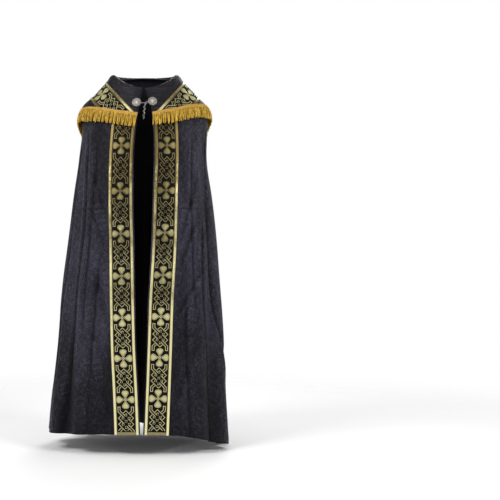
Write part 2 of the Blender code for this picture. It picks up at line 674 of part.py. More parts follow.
def build_clasp(parts, lattice, silver):
    """Two discs sewn to the cape, the hook and eye that join them, and the chain's hanging end."""
    rims = []
    for side, (x, z), low, high, inner in (
        ("left", DISC_LEFT, -1 - BAND_END, -0.8, 1.0),
        ("right", DISC_RIGHT, 0.8, 1 + BAND_END, -1.0),
    ):
        place, out = (Vector(found) for found in lattice.at_side(x, z, low, high))
        seat = 0.0
        for k in range(12):
            turn = 2 * math.pi * k / 12
            for share in (0.5, 1.0):
                reach = DISC_RADIUS * share
                at, _ = lattice.at_side(x + reach * math.cos(turn), z + reach * math.sin(turn), low, high)
                seat = max(seat, (Vector(at) - place).dot(out))
        mesh = bpy.data.meshes.new(f"disc_{side}")
        profile = disc_profile()
        mesh.from_pydata([(r, 0.0, h) for r, h in profile], [(k, k + 1) for k in range(len(profile) - 1)], [])
        disc = add_object(f"clasp_disc_{side}", mesh, silver, parts)
        turned = disc.modifiers.new("turned", "SCREW")
        turned.steps = turned.render_steps = 20
        turned.use_merge_vertices = True
        turned.merge_threshold = 0.00001
        disc.rotation_mode = "QUATERNION"
        disc.rotation_quaternion = out.to_track_quat("Z", "Y")
        disc.location = place + out * (seat + GAP)
        sideways = Vector((inner, 0, 0))
        sideways = (sideways - out * sideways.dot(out)).normalized()
        middle = disc.location + out * DISC_THICK * 0.35 - Vector((0, 0, 0.002))
        rims.append((middle, sideways))

    (left, left_way), (right, right_way) = rims
    start = left + left_way * (DISC_RADIUS + GAP)
    forward = min(left.y, right.y) - 0.0030
    middle = Vector((JOINT[0], forward, JOINT[1]))
    hook = [
        start,
        start + left_way * 0.0022,
        middle + Vector((-0.0030, 0.0, 0.0010)),
        middle + Vector((0.0006, 0.0, 0.0012)),
        middle + Vector((0.0034, 0.0, 0.0006)),
        middle + Vector((0.0044, 0.0, -0.0014)),
        middle + Vector((0.0034, 0.0, -0.0034)),
        middle + Vector((0.0010, 0.0, -0.0040)),
    ]
    tube("clasp_hook", hook, WIRE / 2, silver, parts)
    far = right + right_way * (DISC_RADIUS + GAP + WIRE / 2)
    start = middle + Vector((0.0016, 0.0, -0.0014))
    eye = []
    for k in range(10):
        turn = 2 * math.pi * k / 10
        along = 0.5 - 0.5 * math.cos(turn)
        eye.append(start + (far - start) * along + Vector((0.0, EYE_HALF * math.sin(turn), 0.0)))
    tube("clasp_eye", eye, WIRE / 2, silver, parts, closed=True)

    top = hook[-1] + Vector((0.0, 0.0, -WIRE / 2 - GAP))
    end = top + Vector((TAIL_SWAY, 0.0012, -TAIL_LENGTH))
    bm = bmesh.new()
    loops = []
    for k in range(2 * TAIL_LINKS + 1):
        place = top.lerp(end, k / (2 * TAIL_LINKS))
        radius = LINK_WIDTH / 2 if k % 2 else WIRE * 0.6
        ring = [
            place + Vector((radius * math.cos(t), radius * math.sin(t) * 0.55, 0.0))
            for t in (2 * math.pi * (s + 0.5) / 6 for s in range(6))
        ]
        loops.append([bm.verts.new(p) for p in ring])
    for upper, lower in zip(loops, loops[1:]):
        for s in range(6):
            n = (s + 1) % 6
            bm.faces.new((upper[s], upper[n], lower[n], lower[s]))
    bm.faces.new(loops[0])
    bm.faces.new(loops[-1])
    bmesh.ops.recalc_face_normals(bm, faces=list(bm.faces))
    mesh = bpy.data.meshes.new("chain")
    bm.to_mesh(mesh)
    bm.free()
    add_object("clasp_chain_end", mesh, silver, parts)


def main():
    for old in list(bpy.data.objects):
        bpy.data.objects.remove(old)
    parts = bpy.data.collections.new("cope")
    bpy.context.scene.collection.children.link(parts)
    brocade = material("black_brocade", (0.022, 0.020, 0.026), 0.62)
    galloon = material("black_galloon", (0.014, 0.012, 0.015), 0.55)
    braid = material("gold_braid", (0.72, 0.58, 0.22), 0.32, 0.7)
    fringe_gold = material("fringe_gold", (0.66, 0.42, 0.06), 0.55)
    tassel_gold = material("tassel_gold", (0.78, 0.62, 0.12), 0.55)
    silver = material("antique_silver", (0.52, 0.49, 0.44), 0.38, 0.9)
    lattice = Lattice()
    build_cloak(parts, lattice, brocade, galloon, braid)
    build_cape(parts, lattice, brocade, galloon, braid)
    build_fringe(parts, lattice, fringe_gold)
    build_tassel(parts, lattice, tassel_gold)
    build_clasp(parts, lattice, silver)


main()
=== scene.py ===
"""Looks of a worn cope: damask cloak, woven orphreys, fringed shoulder cape, medallion and clasp.

Units are metres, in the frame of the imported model: +Z is up and the opening faces -Y.
"""

import json
import math
from collections import namedtuple

import bmesh
import bpy
import numpy as np
from mathutils import Matrix, Vector

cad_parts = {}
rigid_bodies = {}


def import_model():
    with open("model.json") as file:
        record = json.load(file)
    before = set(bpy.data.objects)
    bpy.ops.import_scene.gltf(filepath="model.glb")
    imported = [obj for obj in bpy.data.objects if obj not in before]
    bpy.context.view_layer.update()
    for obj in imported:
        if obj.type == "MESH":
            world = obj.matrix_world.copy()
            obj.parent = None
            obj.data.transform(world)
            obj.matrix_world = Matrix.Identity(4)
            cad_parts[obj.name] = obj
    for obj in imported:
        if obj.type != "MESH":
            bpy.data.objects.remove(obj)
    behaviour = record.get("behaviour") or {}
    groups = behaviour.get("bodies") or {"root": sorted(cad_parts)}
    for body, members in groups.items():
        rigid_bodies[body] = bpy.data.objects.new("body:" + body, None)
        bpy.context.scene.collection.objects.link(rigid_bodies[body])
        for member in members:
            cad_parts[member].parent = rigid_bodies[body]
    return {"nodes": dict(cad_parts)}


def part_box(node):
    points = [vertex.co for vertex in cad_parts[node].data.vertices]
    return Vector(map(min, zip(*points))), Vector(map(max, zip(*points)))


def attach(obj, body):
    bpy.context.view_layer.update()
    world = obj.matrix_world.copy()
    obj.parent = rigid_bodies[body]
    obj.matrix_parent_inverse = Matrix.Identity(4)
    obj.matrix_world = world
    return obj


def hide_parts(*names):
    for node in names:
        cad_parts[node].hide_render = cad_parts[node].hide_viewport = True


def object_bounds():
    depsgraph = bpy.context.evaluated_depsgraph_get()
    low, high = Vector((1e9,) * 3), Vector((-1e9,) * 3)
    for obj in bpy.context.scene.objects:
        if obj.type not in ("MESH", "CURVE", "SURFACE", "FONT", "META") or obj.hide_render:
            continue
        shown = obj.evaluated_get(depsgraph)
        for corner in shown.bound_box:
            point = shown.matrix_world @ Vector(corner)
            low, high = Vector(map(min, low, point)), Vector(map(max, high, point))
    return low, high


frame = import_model()
cad_low, cad_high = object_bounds()
for shown in bpy.context.scene.objects:
    shown.select_set(False)

# Cloth and trim, as the model's source gives them
CLOTH = 0.002
TRIM_CLOTH = 0.0008
GAP = 0.0004
EDGE_STRIP = 0.005
BAND = 0.095
BRAID = 0.011
BAND_END = EDGE_STRIP + BAND
HALF = BAND / 2
CAPE_LIFT_NECK = CLOTH + 2 * GAP
CAPE_LIFT = 0.0065
LIFT_RUN = 0.04
HEADER = 0.0125
HEADER_THICK = 0.0016
HEADER_GAP = 0.0020
ARM_FRONT = (0.2, 0.248)
ARM_BACK = (-0.3, 0.194)
ARM_BEND_Y = 0.108
ARM_START = -0.150
STEM_TOP = -0.285
MEDALLION_Z = -0.221
MEDALLION_HALF_HEIGHT = 0.113
MEDALLION_HALF_WIDTH = 0.085
MEDALLION_RADIUS = (MEDALLION_HALF_HEIGHT**2 + MEDALLION_HALF_WIDTH**2) / (2 * MEDALLION_HALF_WIDTH)

# The flat cuts, each a fan: from its centre to its neck, and its angle for one unit of place around
CLOAK_NECK, CLOAK_SWING = 0.77, 0.64
CAPE_NECK, CAPE_SWING = 0.265, 1.33

# How the bands are built up: woven figures on a ground, and a braid along each edge
FIGURE_LIFT = GAP + TRIM_CLOTH
BRAID_LIFT = FIGURE_LIFT + GAP
MEDALLION_LIFT = 2 * GAP + TRIM_CLOTH + TRIM_CLOTH + GAP
ORNAMENT_LIFT = MEDALLION_LIFT + TRIM_CLOTH
BRAID_THICK = 0.0007
BRAID_CROWN = 0.0006
BRAID_PLACES = ((-HALF, BRAID - HALF), (HALF - BRAID, HALF))
BAND_COLUMNS = 13
BAND_MIDDLE = BAND_COLUMNS // 2
FRONT_STEP = 0.006  # between the rows of a front orphrey
HEADER_SUNK = 0.0002
ORNAMENT_WIDER = 1.20  # how far the medallion's ornament is drawn out over its first drawing
ORNAMENT_TALLER = 1.12
BACK_FROM_Y = 0.02  # the cape's back is behind this
HEADING_COVERS = 0.006  # how far above the cape's edge the bands stop, under the heading

Ring = namedtuple("Ring", "down front_z left_z right_z back_z left right front back square")
RINGS = [
    Ring(0.000, -0.071, -0.019, -0.019, -0.003, 0.112, 0.112, -0.118, 0.068, 2.00),
    Ring(0.022, -0.083, -0.003, -0.003, -0.001, 0.127, 0.127, -0.124, 0.080, 2.00),
    Ring(0.065, -0.106, -0.037, -0.037, -0.028, 0.156, 0.157, -0.134, 0.101, 2.00),
    Ring(0.130, -0.136, -0.088, -0.087, -0.074, 0.201, 0.203, -0.146, 0.124, 2.02),
    Ring(0.205, -0.176, -0.144, -0.144, -0.132, 0.245, 0.249, -0.161, 0.147, 2.06),
    Ring(0.240, -0.206, -0.179, -0.179, -0.170, 0.255, 0.258, -0.170, 0.160, 2.08),
    Ring(0.275, -0.236, -0.215, -0.215, -0.208, 0.256, 0.256, -0.180, 0.170, 2.10),
    Ring(0.390, -0.335, -0.330, -0.330, -0.330, 0.268, 0.253, -0.199, 0.198, 2.12),
    Ring(0.560, -0.500, -0.500, -0.500, -0.500, 0.292, 0.277, -0.218, 0.236, 2.15),
    Ring(0.775, -0.712, -0.715, -0.718, -0.715, 0.321, 0.301, -0.232, 0.274, 2.18),
    Ring(0.980, -0.912, -0.920, -0.932, -0.922, 0.345, 0.318, -0.243, 0.306, 2.20),
    Ring(1.185, -1.106, -1.125, -1.148, -1.130, 0.365, 0.331, -0.251, 0.334, 2.20),
    Ring(1.360, -1.277, -1.297, -1.334, -1.305, 0.389, 0.340, -0.257, 0.355, 2.20),
    Ring(1.515, -1.430, -1.449, -1.500, -1.462, 0.407, 0.351, -0.261, 0.372, 2.20),
]
HEM_DOWN = RINGS[-1].down

Opening = namedtuple("Opening", "z left_x right_x")
OPENING = [
    Opening(-1.430, -0.0185, -0.0076),
    Opening(-1.290, -0.0236, -0.0022),
    Opening(-1.100, -0.0330, 0.0050),
    Opening(-0.911, -0.0376, 0.0114),
    Opening(-0.715, -0.0404, 0.0228),
    Opening(-0.500, -0.0450, 0.0300),
    Opening(-0.281, -0.0395, 0.0340),
    Opening(-0.200, -0.0310, 0.0295),
    Opening(-0.138, -0.0215, 0.0220),
    Opening(-0.100, -0.0135, 0.0095),
    Opening(-0.069, -0.0070, -0.0030),
]

Fold = namedtuple("Fold", "around reach start depth")
FOLDS = [
    Fold(-0.945, 0.050, 0.480, 0.017),
    Fold(-0.775, 0.075, 0.210, 0.036),
    Fold(-0.615, 0.070, 0.420, 0.042),
    Fold(-0.455, 0.075, 0.330, 0.060),
    Fold(-0.300, 0.070, 0.380, 0.066),
    Fold(-0.150, 0.068, 0.340, 0.062),
    Fold(0.000, 0.072, 0.300, 0.074),
    Fold(0.155, 0.070, 0.360, 0.058),
    Fold(0.310, 0.072, 0.320, 0.068),
    Fold(0.460, 0.068, 0.400, 0.054),
    Fold(0.610, 0.070, 0.350, 0.048),
    Fold(0.775, 0.080, 0.230, 0.034),
    Fold(0.940, 0.052, 0.400, 0.020),
]

CapeEdge = namedtuple("CapeEdge", "around left_z right_z")
CAPE_EDGE = [
    CapeEdge(0.000, -0.495, -0.495),
    CapeEdge(0.070, -0.458, -0.458),
    CapeEdge(0.160, -0.409, -0.409),
    CapeEdge(0.270, -0.349, -0.349),
    CapeEdge(0.370, -0.291, -0.291),
    CapeEdge(0.460, -0.236, -0.230),
    CapeEdge(0.555, -0.182, -0.168),
    CapeEdge(0.650, -0.157, -0.142),
    CapeEdge(0.760, -0.152, -0.139),
    CapeEdge(0.900, -0.161, -0.150),
    CapeEdge(1.000, -0.171, -0.163),
    CapeEdge(1.0 + BAND_END, -0.185, -0.183),
]

Flare = namedtuple("Flare", "around left right")
FLARES = [
    Flare(0.00, 0.000, 0.000),
    Flare(0.40, 0.001, 0.001),
    Flare(0.60, 0.009, 0.005),
    Flare(0.78, 0.010, 0.005),
    Flare(0.95, 0.002, 0.002),
    Flare(1.0 + BAND_END, 0.000, 0.000),
]
FLARE_FROM = 0.12
FLARE_TO = 0.21

# Small creases that the cloth has on top of its folds: where each runs, its half width and its depth
Crease = namedtuple("Crease", "course width depth")
CREASES = [
    Crease(
        [(0.250, -0.775), (0.330, -0.793), (0.580, -0.836), (1.000, -0.800), (1.502, -0.755)],
        0.0100, 0.0130,
    ),
    Crease([(0.300, -0.905), (0.560, -0.897), (0.900, -0.872), (1.200, -0.858)], 0.0090, 0.0060),
    Crease([(0.300, -0.700), (0.700, -0.712), (1.100, -0.690), (1.502, -0.680)], 0.0110, 0.0090),
    Crease([(0.780, -0.945), (0.980, -0.925), (1.240, -0.905), (1.502, -0.890)], 0.0090, 0.0070),
    Crease(
        [(0.250, 0.700), (0.330, 0.714), (0.647, 0.771), (0.968, 0.750), (1.275, 0.640), (1.502, 0.607)],
        0.0100, 0.0130,
    ),
    Crease([(0.280, 0.880), (0.600, 0.905), (0.850, 0.898), (1.150, 0.868)], 0.0090, 0.0060),
    Crease([(0.600, 0.830), (0.950, 0.838), (1.300, 0.800), (1.502, 0.780)], 0.0100, 0.0090),
    Crease([(0.900, 0.935), (1.150, 0.925), (1.502, 0.905)], 0.0090, 0.0070),
    Crease([(0.600, -0.530), (1.000, -0.522), (1.502, -0.545)], 0.0160, 0.0080),
    Crease([(0.550, -0.375), (1.050, -0.385), (1.502, -0.370)], 0.0160, 0.0070),
    Crease([(0.620, -0.225), (1.100, -0.215), (1.502, -0.232)], 0.0150, 0.0080),
    Crease([(0.580, 0.085), (1.000, 0.075), (1.502, 0.092)], 0.0160, 0.0070),
    Crease([(0.660, 0.235), (1.100, 0.245), (1.502, 0.228)], 0.0150, 0.0080),
    Crease([(0.560, 0.385), (1.050, 0.378), (1.502, 0.392)], 0.0160, 0.0070),
    Crease([(0.620, 0.535), (1.100, 0.548), (1.502, 0.530)], 0.0160, 0.0080),
]
# Creases that packing pressed across the cloth
Press = namedtuple("Press", "down tilt start end depth")
PRESSES = [
    Press(0.594, 0.03, -0.98, -0.80, 0.0034),
    Press(0.594, -0.03, 0.74, 0.98, 0.0032),
    Press(0.692, -0.05, -0.90, -0.74, 0.0024),
    Press(0.700, 0.05, 0.68, 0.84, 0.0022),
    Press(1.120, 0.03, 0.68, 0.99, 0.0038),
    Press(1.135, -0.02, -0.97, -0.74, 0.0022),
    Press(0.830, 0.02, -0.60, 0.60, 0.0022),
    Press(1.180, -0.02, -0.62, 0.40, 0.0020),
]
# Slanting pulls of the cloth towards the bands: (down, around) of each end, half width and depth
Pull = namedtuple("Pull", "first last width depth")
PULLS = [
    Pull((0.420, -0.860), (0.660, -0.985), 0.011, 0.0085),
    Pull((0.600, -0.880), (0.810, -0.985), 0.012, 0.0080),
    Pull((0.830, -0.905), (1.100, -0.990), 0.012, 0.0085),
    Pull((1.080, -0.900), (1.300, -0.985), 0.012, 0.0070),
    Pull((1.230, -0.900), (1.480, -0.990), 0.012, 0.0075),
    Pull((0.440, 0.840), (0.770, 0.985), 0.012, 0.0090),
    Pull((0.640, 0.870), (0.880, 0.985), 0.011, 0.0070),
    Pull((0.840, 0.840), (1.060, 0.985), 0.012, 0.0085),
    Pull((1.100, 0.850), (1.420, 0.985), 0.013, 0.0085),
]

# The woven figures of the orphreys
REPEAT = 0.1665  # from one cross to the next, as the weave was planned
STRAP_SIDE = 0.0260  # a strap's middle, beside a cross
STRAP_END = 0.0285  # its square end, from the middle of the cross
STRAP_HALF = 0.0041  # its two gold lines, from its middle
LINE = 0.0027
PLAIT = 0.01175  # half the pitch of the plait
FIGURE_HEIGHT = 0.0007
SUNK = 0.0002  # how far a figure's underside lies in its ground
# Heights of the crosses' middles down each front band, and how far out the arms' crosses stand
FRONT_CROSSES = (
    (-0.3047, -0.4846, -0.6523, -0.8166, -0.9779, -1.1356, -1.2943),
    (-0.3040, -0.4823, -0.6484, -0.8127, -0.9739, -1.1315, -1.2903),
)
ARM_CROSS_FRONT_X = 0.1745
ARM_CROSS_BACK_X = 0.130
STEM_CROSS = 0.406
STEM_END = 0.54  # past the cape's edge, so that the band is trimmed along it
STEM_LENGTH = 0.21

# The damask, and the width of the locks in which the fringe's strands hang together
DAMASK_REPEAT = 0.176
LOCK = 0.0165
STRAND_POINTS = 7

# The clasp: a disc, and the steps that its dish takes inwards and up or down from the rim
DISC_RADIUS = 0.0183
DISC_DEPTH = 0.0018
BOSS_HEIGHT = 0.0023
DISH_STEPS = (
    (0.0009, 0.0005), (0.0016, -0.0007), (0.0010, 0.0006), (0.0046, 0.0), (0.0012, 0.0005), (0.0012, -0.0004),
)
HOOK_MEETS_EYE = (-0.0022, -0.1330)  # x and z
CHAIN_LINKS = 7

# The photograph, in pixels: its width, the cope's middle and the height of the eye
PHOTO = 500.0
PHOTO_MIDDLE_X = 145.0
PHOTO_EYE_Y = 256.3

rng = np.random.default_rng(7)


def smooth_curve(xs, ys, at):
    """Values of a smooth curve through the points of a table."""
    xs = np.asarray(xs, float)
    ys = np.asarray(ys, float)
    at = np.clip(at, xs[0], xs[-1])
    slopes = np.gradient(ys, xs)
    i = np.clip(np.searchsorted(xs, at, side="right") - 1, 0, len(xs) - 2)
    span = xs[i + 1] - xs[i]
    t = (at - xs[i]) / span
    start = (1 + 2 * t) * (1 - t) ** 2 * ys[i] + t * (1 - t) ** 2 * span * slopes[i]
    end = t * t * (3 - 2 * t) * ys[i + 1] + t * t * (t - 1) * span * slopes[i + 1]
    return start + end


def ease(share):
    share = np.clip(share, 0.0, 1.0)
    return share * share * (3 - 2 * share)


def unit(vectors):
    return vectors / np.maximum(np.linalg.norm(vectors, axis=-1), 1e-12)[..., None]


def summed(steps):
    return np.concatenate([[0.0], np.cumsum(steps)])


def lengths(points):
    """How far along a line each of its points is."""
    return summed(np.linalg.norm(np.diff(points, axis=0), axis=1))


def form_row(down, around):
    """Points of the worn form at one distance down from the neck, for an array of places around it."""
    downs = [r.down for r in RINGS]
    ring = Ring(*(float(smooth_curve(downs, column, down)) for column in zip(*RINGS)))
    turn = np.radians(np.linspace(-30.0, 390.0, 841))
    s, c = np.sin(turn), np.cos(turn)
    power = 2.0 / ring.square
    x = np.where(s > 0, ring.right, ring.left) * np.sign(s) * np.abs(s) ** power
    y = np.where(c > 0, ring.front, ring.back) * np.abs(c) ** power
    side_z = np.where(s > 0, ring.right_z, ring.left_z)
    z = side_z + (np.where(c > 0, ring.front_z, ring.back_z) - side_z) * c * c
    heights = [o.z for o in OPENING]
    left_x = smooth_curve(heights, [o.left_x for o in OPENING], ring.front_z)
    right_x = smooth_curve(heights, [o.right_x for o in OPENING], ring.front_z)
    first = np.interp(right_x, x[:120], turn[:120])
    last = np.interp(left_x, x[-120:], turn[-120:])
    points = np.stack([x, y, z], axis=1)
    run = lengths(points)
    begin, back, end = np.interp([first, math.pi, last], turn, run)
    marks = [-1 - BAND_END, -1, 0, 1, 1 + BAND_END]
    places = [end - begin, end - begin - BAND_END, back - begin, BAND_END, 0.0]
    place = begin + np.interp(around, marks, places)
    return np.stack([np.interp(place, run, points[:, k]) for k in range(3)], axis=1)


def facing(points):
    """Outward directions of a grid of points. Its rows run down, and its columns run round from the left."""
    return unit(np.cross(np.gradient(points, axis=1), np.gradient(points, axis=0)))


class Chart:
    """Points and outward directions over two measures, read anywhere between its rows and columns."""

    def __init__(self, rows, columns, points, outs):
        self.rows, self.columns = np.asarray(rows), np.asarray(columns)
        self.points, self.outs = points, outs

    def at(self, row, column, lift=0.0):
        """Places at arrays of rows and columns, moved out by lift."""
        row, column = np.broadcast_arrays(np.asarray(row, float), np.asarray(column, float))
        i = np.interp(row, self.rows, np.arange(len(self.rows)))
        j = np.interp(column, self.columns, np.arange(len(self.columns)))
        a = np.clip(i.astype(int), 0, len(self.rows) - 2)
        b = np.clip(j.astype(int), 0, len(self.columns) - 2)
        u, v = (i - a)[..., None], (j - b)[..., None]

        def between(grid):
            above = grid[a, b] * (1 - v) + grid[a, b + 1] * v
            below = grid[a + 1, b] * (1 - v) + grid[a + 1, b + 1] * v
            return above * (1 - u) + below * u

        out = unit(between(self.outs))
        return between(self.points) + out * np.asarray(lift, float)[..., None], out


def cloak_depth(down, around):
    """How far the cloak's folds, creases, pulls and pressed lines go in, and how dark their hollows are
    painted: painted shade in them, and a painted shadow under the cape at the sides.
    """
    depth = np.zeros(len(around))
    for fold in FOLDS:
        grown = max(0.0, (down - fold.start) / (HEM_DOWN - fold.start))
        near = np.clip((around - fold.around) / fold.reach, -1, 1)
        depth += fold.depth * grown**0.9 * np.cos(near * math.pi / 2) ** 2
    # Painted shade: the deeper the folds, the darker the cloth is painted there.
    hollow = depth * 9.0

    def trough(away, ridge, beside, most, fade, darkness):
        """A soft trough with a low ridge beside it, and painted shade along its valley."""
        nonlocal depth, hollow
        valley = np.exp(-away * away)
        depth += most * fade * (valley - ridge * np.exp(-((away - beside) ** 2)))
        hollow += darkness * fade * valley**2

    for crease in CREASES:
        downs, places = zip(*crease.course)
        fade = ease((down - downs[0]) / 0.15) * (1.0 if downs[-1] > 1.4 else ease((downs[-1] - down) / 0.2))
        away = (around - smooth_curve(downs, places, down)) / crease.width
        trough(away, 0.25, 2.0, crease.depth, float(fade), crease.depth * 120)
    for press in PRESSES:
        line = press.down + press.tilt * (around - (press.start + press.end) / 2)
        fade = ease((around - press.start) / 0.05) * ease((press.end - around) / 0.05)
        trough((down - line) / 0.0075, 0.5, 2.0, press.depth, fade, press.depth * 90)
    for pull in PULLS:
        (d0, a0), (d1, a1) = pull.first, pull.last
        share = (down - d0) / (d1 - d0)
        fade = float(ease(share / 0.35) * ease((1.0 - share) / 0.25))
        away = (around - (a0 + (a1 - a0) * share)) / pull.width * (1 if a0 < 0 else -1)
        trough(away, 0.55, 1.9, pull.depth, fade, pull.depth * 30)
    away = np.abs(around)
    # Painted shadow under the cape's lower edge, at the sides of the cloak.
    hollow += 0.8 * ease((0.77 - away) / 0.07) * ease((away - 0.45) / 0.2) * float(ease((0.47 - down) / 0.13))
    slow = 0.0016 * np.sin(around * 37.0 + down * 5.0) * np.sin(down * 11.0 + around * 3.0)
    depth += slow * ease((1.0 - away) / 0.06) * float(ease((down - 0.25) / 0.2))
    return depth, np.clip(hollow, 0.0, 1.0)


def by_side(table, around):
    """A table's left and right values over places around."""
    places, left, right = zip(*table)
    away = abs(around)
    return np.where(around < 0, smooth_curve(places, left, away), smooth_curve(places, right, away))


def worn_charts():
    """The cloak's face and the shoulder cape's face, over distance down and place around."""
    half = np.concatenate(
        [np.linspace(0, 0.6, 57)[1:], np.linspace(0.6, 1, 76)[1:], np.linspace(1, 1 + BAND_END, 13)[1:]]
    )
    around = np.concatenate([-half[::-1], [0.0], half])
    downs = np.concatenate([np.linspace(0, 0.30, 40)[:-1], np.linspace(0.30, HEM_DOWN, 127)])
    form = np.array([form_row(d, around) for d in downs])
    outs = facing(form)
    depth, hollow = np.array([cloak_depth(d, around) for d in downs]).transpose(1, 0, 2)
    folded = form - outs * depth[:, :, None]
    cloak = Chart(downs, around, folded, facing(folded))
    cloak.hollow = hollow

    fine = np.linspace(-1 - BAND_END, 1 + BAND_END, 521)
    high = np.linspace(0, 0.72, 200)
    form = np.array([form_row(d, fine) for d in high])
    outs = facing(form)
    steps = np.linalg.norm(np.diff(form, axis=0), axis=2)
    run = np.concatenate([np.zeros((1, len(fine))), np.cumsum(steps, axis=0)])
    lift = CAPE_LIFT_NECK + (CAPE_LIFT - CAPE_LIFT_NECK) * ease(run / LIFT_RUN)
    lift = lift + by_side(FLARES, fine) * ease((run - FLARE_FROM) / (FLARE_TO - FLARE_FROM))
    face = form + outs * lift[:, :, None]
    return cloak, Chart(high, fine, face, facing(face))


def down_to(chart, around, z):
    """How far down each place around has to go to reach a height."""
    rows = np.linspace(0, len(chart.rows) - 1, 4 * len(chart.rows))
    downs = np.interp(rows, np.arange(len(chart.rows)), chart.rows)
    found = []
    for place, height in zip(np.atleast_1d(around), np.atleast_1d(z)):
        heights = chart.at(downs, np.full(len(downs), place))[0][:, 2]
        top = int(np.argmax(heights))
        found.append(np.interp(-height, -heights[top:], downs[top:]))
    return np.array(found)


def front_chart(cloak, side):
    """A front orphrey's chart: distance down the band, and across it from left to right."""
    across = np.linspace(-HALF, HALF, BAND_COLUMNS)
    places = side + (HALF - side * across) * side
    downs = np.linspace(RINGS[2].down, HEM_DOWN, 420)
    grid, outs = cloak.at(downs[:, None], places[None, :])
    return Chart(lengths(grid[:, BAND_MIDDLE]), across, grid, outs)


def arm_chart(cape, side):
    """An arm of the Y: distance along it from the front, and across it from its upper to its lower edge."""
    across = np.linspace(-HALF, HALF, BAND_COLUMNS)
    places = side * np.linspace(1 + BAND_END, 0.02, 300)
    grid = np.zeros((len(places), BAND_COLUMNS, 3))
    reached = np.zeros((len(places), BAND_COLUMNS))
    for i, place in enumerate(places):
        line = cape.at(cape.rows, np.full(len(cape.rows), place))[0]
        slope, offset = (np.where(line[:, 1] < ARM_BEND_Y, *pair) for pair in zip(ARM_FRONT, ARM_BACK))
        off = abs(line[:, 0]) - line[:, 2] + (slope * line[:, 1] - offset)
        off /= np.sqrt(2 + slope**2)
        top = int(np.argmin(off[:60]))
        reached[i] = np.interp(across, off[top:], cape.rows[top:])
        grid[i] = cape.at(reached[i], np.full(BAND_COLUMNS, place))[0]
    middle = grid[:, BAND_MIDDLE]
    way = unit(np.gradient(middle, axis=0))
    along = lengths(middle)[:, None] + np.einsum("ijk,ik->ij", grid - middle[:, None], way)
    along = np.maximum.accumulate(along, axis=0)
    rows = np.linspace(along.min(axis=0).max(), along.max(axis=0).min(), 260)
    squared = np.zeros((len(rows), BAND_COLUMNS, 3))
    outs = np.zeros_like(squared)
    for j in range(BAND_COLUMNS):
        place = np.interp(rows, along[:, j], places * side) * side
        down = np.interp(rows, along[:, j], reached[:, j])
        squared[:, j], outs[:, j] = cape.at(down, place)
    return Chart(rows, across, squared, outs)


def back_chart(cape):
    """The middle of the cape's back, over height and x. Rows run down, as -z."""
    heights = np.linspace(0.06, 0.545, 150)
    xs = np.linspace(-0.115, 0.115, 47)
    places = np.linspace(-0.42, 0.42, 121)
    points = np.zeros((len(heights), len(xs), 3))
    outs = np.zeros_like(points)
    for i, height in enumerate(heights):
        row = down_to(cape, places, np.full(len(places), -height))
        line, _ = cape.at(row, places)
        place = np.interp(xs, line[:, 0], places)
        points[i], outs[i] = cape.at(np.interp(place, places, row), place)
    return Chart(heights, xs, points, outs)


class Shape:
    """Vertices, faces and flat coordinates gathered for one mesh."""

    def __init__(self):
        self.verts, self.faces, self.flat = [], [], []
        self.count = 0

    def add(self, points, faces, flat):
        points = np.asarray(points, float).reshape(-1, 3)
        self.verts.append(points)
        self.flat.append(np.asarray(flat, float).reshape(-1, 2))
        self.faces += [tuple(int(k) + self.count for k in face) for face in faces]
        self.count += len(points)

    def piece(self, name, finishes, smooth_angle=40.0):
        mesh = bpy.data.meshes.new(name)
        mesh.from_pydata(np.concatenate(self.verts).tolist(), [], self.faces)
        flat = np.concatenate(self.flat)
        layer = mesh.uv_layers.new(name="cut")
        corners = np.zeros(len(mesh.loops), int)
        mesh.loops.foreach_get("vertex_index", corners)
        layer.data.foreach_set("uv", flat[corners].astype(np.float32).ravel())
        for finish in finishes:
            mesh.materials.append(finish)
        mesh.validate()
        made = bpy.data.objects.new(name, mesh)
        bpy.context.scene.collection.objects.link(made)
        soften(made, smooth_angle)
        return made


def soften(piece, angle):
    """Smooth shading, with the edges kept that are sharper than an angle."""
    piece.data.polygons.foreach_set("use_smooth", [True] * len(piece.data.polygons))
    bpy.context.view_layer.objects.active = piece
    piece.select_set(True)
    bpy.ops.object.shade_smooth_by_angle(angle=math.radians(angle))
    piece.select_set(False)


def grid_faces(rows, columns, start=0, turned=False):
    """Quads over a grid of points."""
    faces = []
    for i in range(rows - 1):
        for j in range(columns - 1):
            a = start + i * columns + j
            face = (a, a + 1, a + columns + 1, a + columns)
            faces.append(face[::-1] if turned else face)
    return faces


def shell_faces(rows, columns):
    """Faces of a thin solid: its upper grid, its lower grid, and the strip round their edges."""
    n = rows * columns
    rim = list(range(columns)) + list(range(2 * columns - 1, n, columns))
    rim += list(range(n - 2, n - columns, -1)) + list(range(n - columns, 0, -columns))
    strip = [(a, a + n, b + n, b) for a, b in zip(rim, rim[1:] + rim[:1])]
    return grid_faces(rows, columns) + grid_faces(rows, columns, n, turned=True) + strip


def closed_sheet(shape, upper, lower, flat):
    """A thin solid between two grids of points, with its four edges closed."""
    points = np.concatenate([upper.reshape(-1, 3), lower.reshape(-1, 3)])
    shape.add(points, shell_faces(*upper.shape[:2]), np.tile(flat.reshape(-1, 2), (2, 1)))


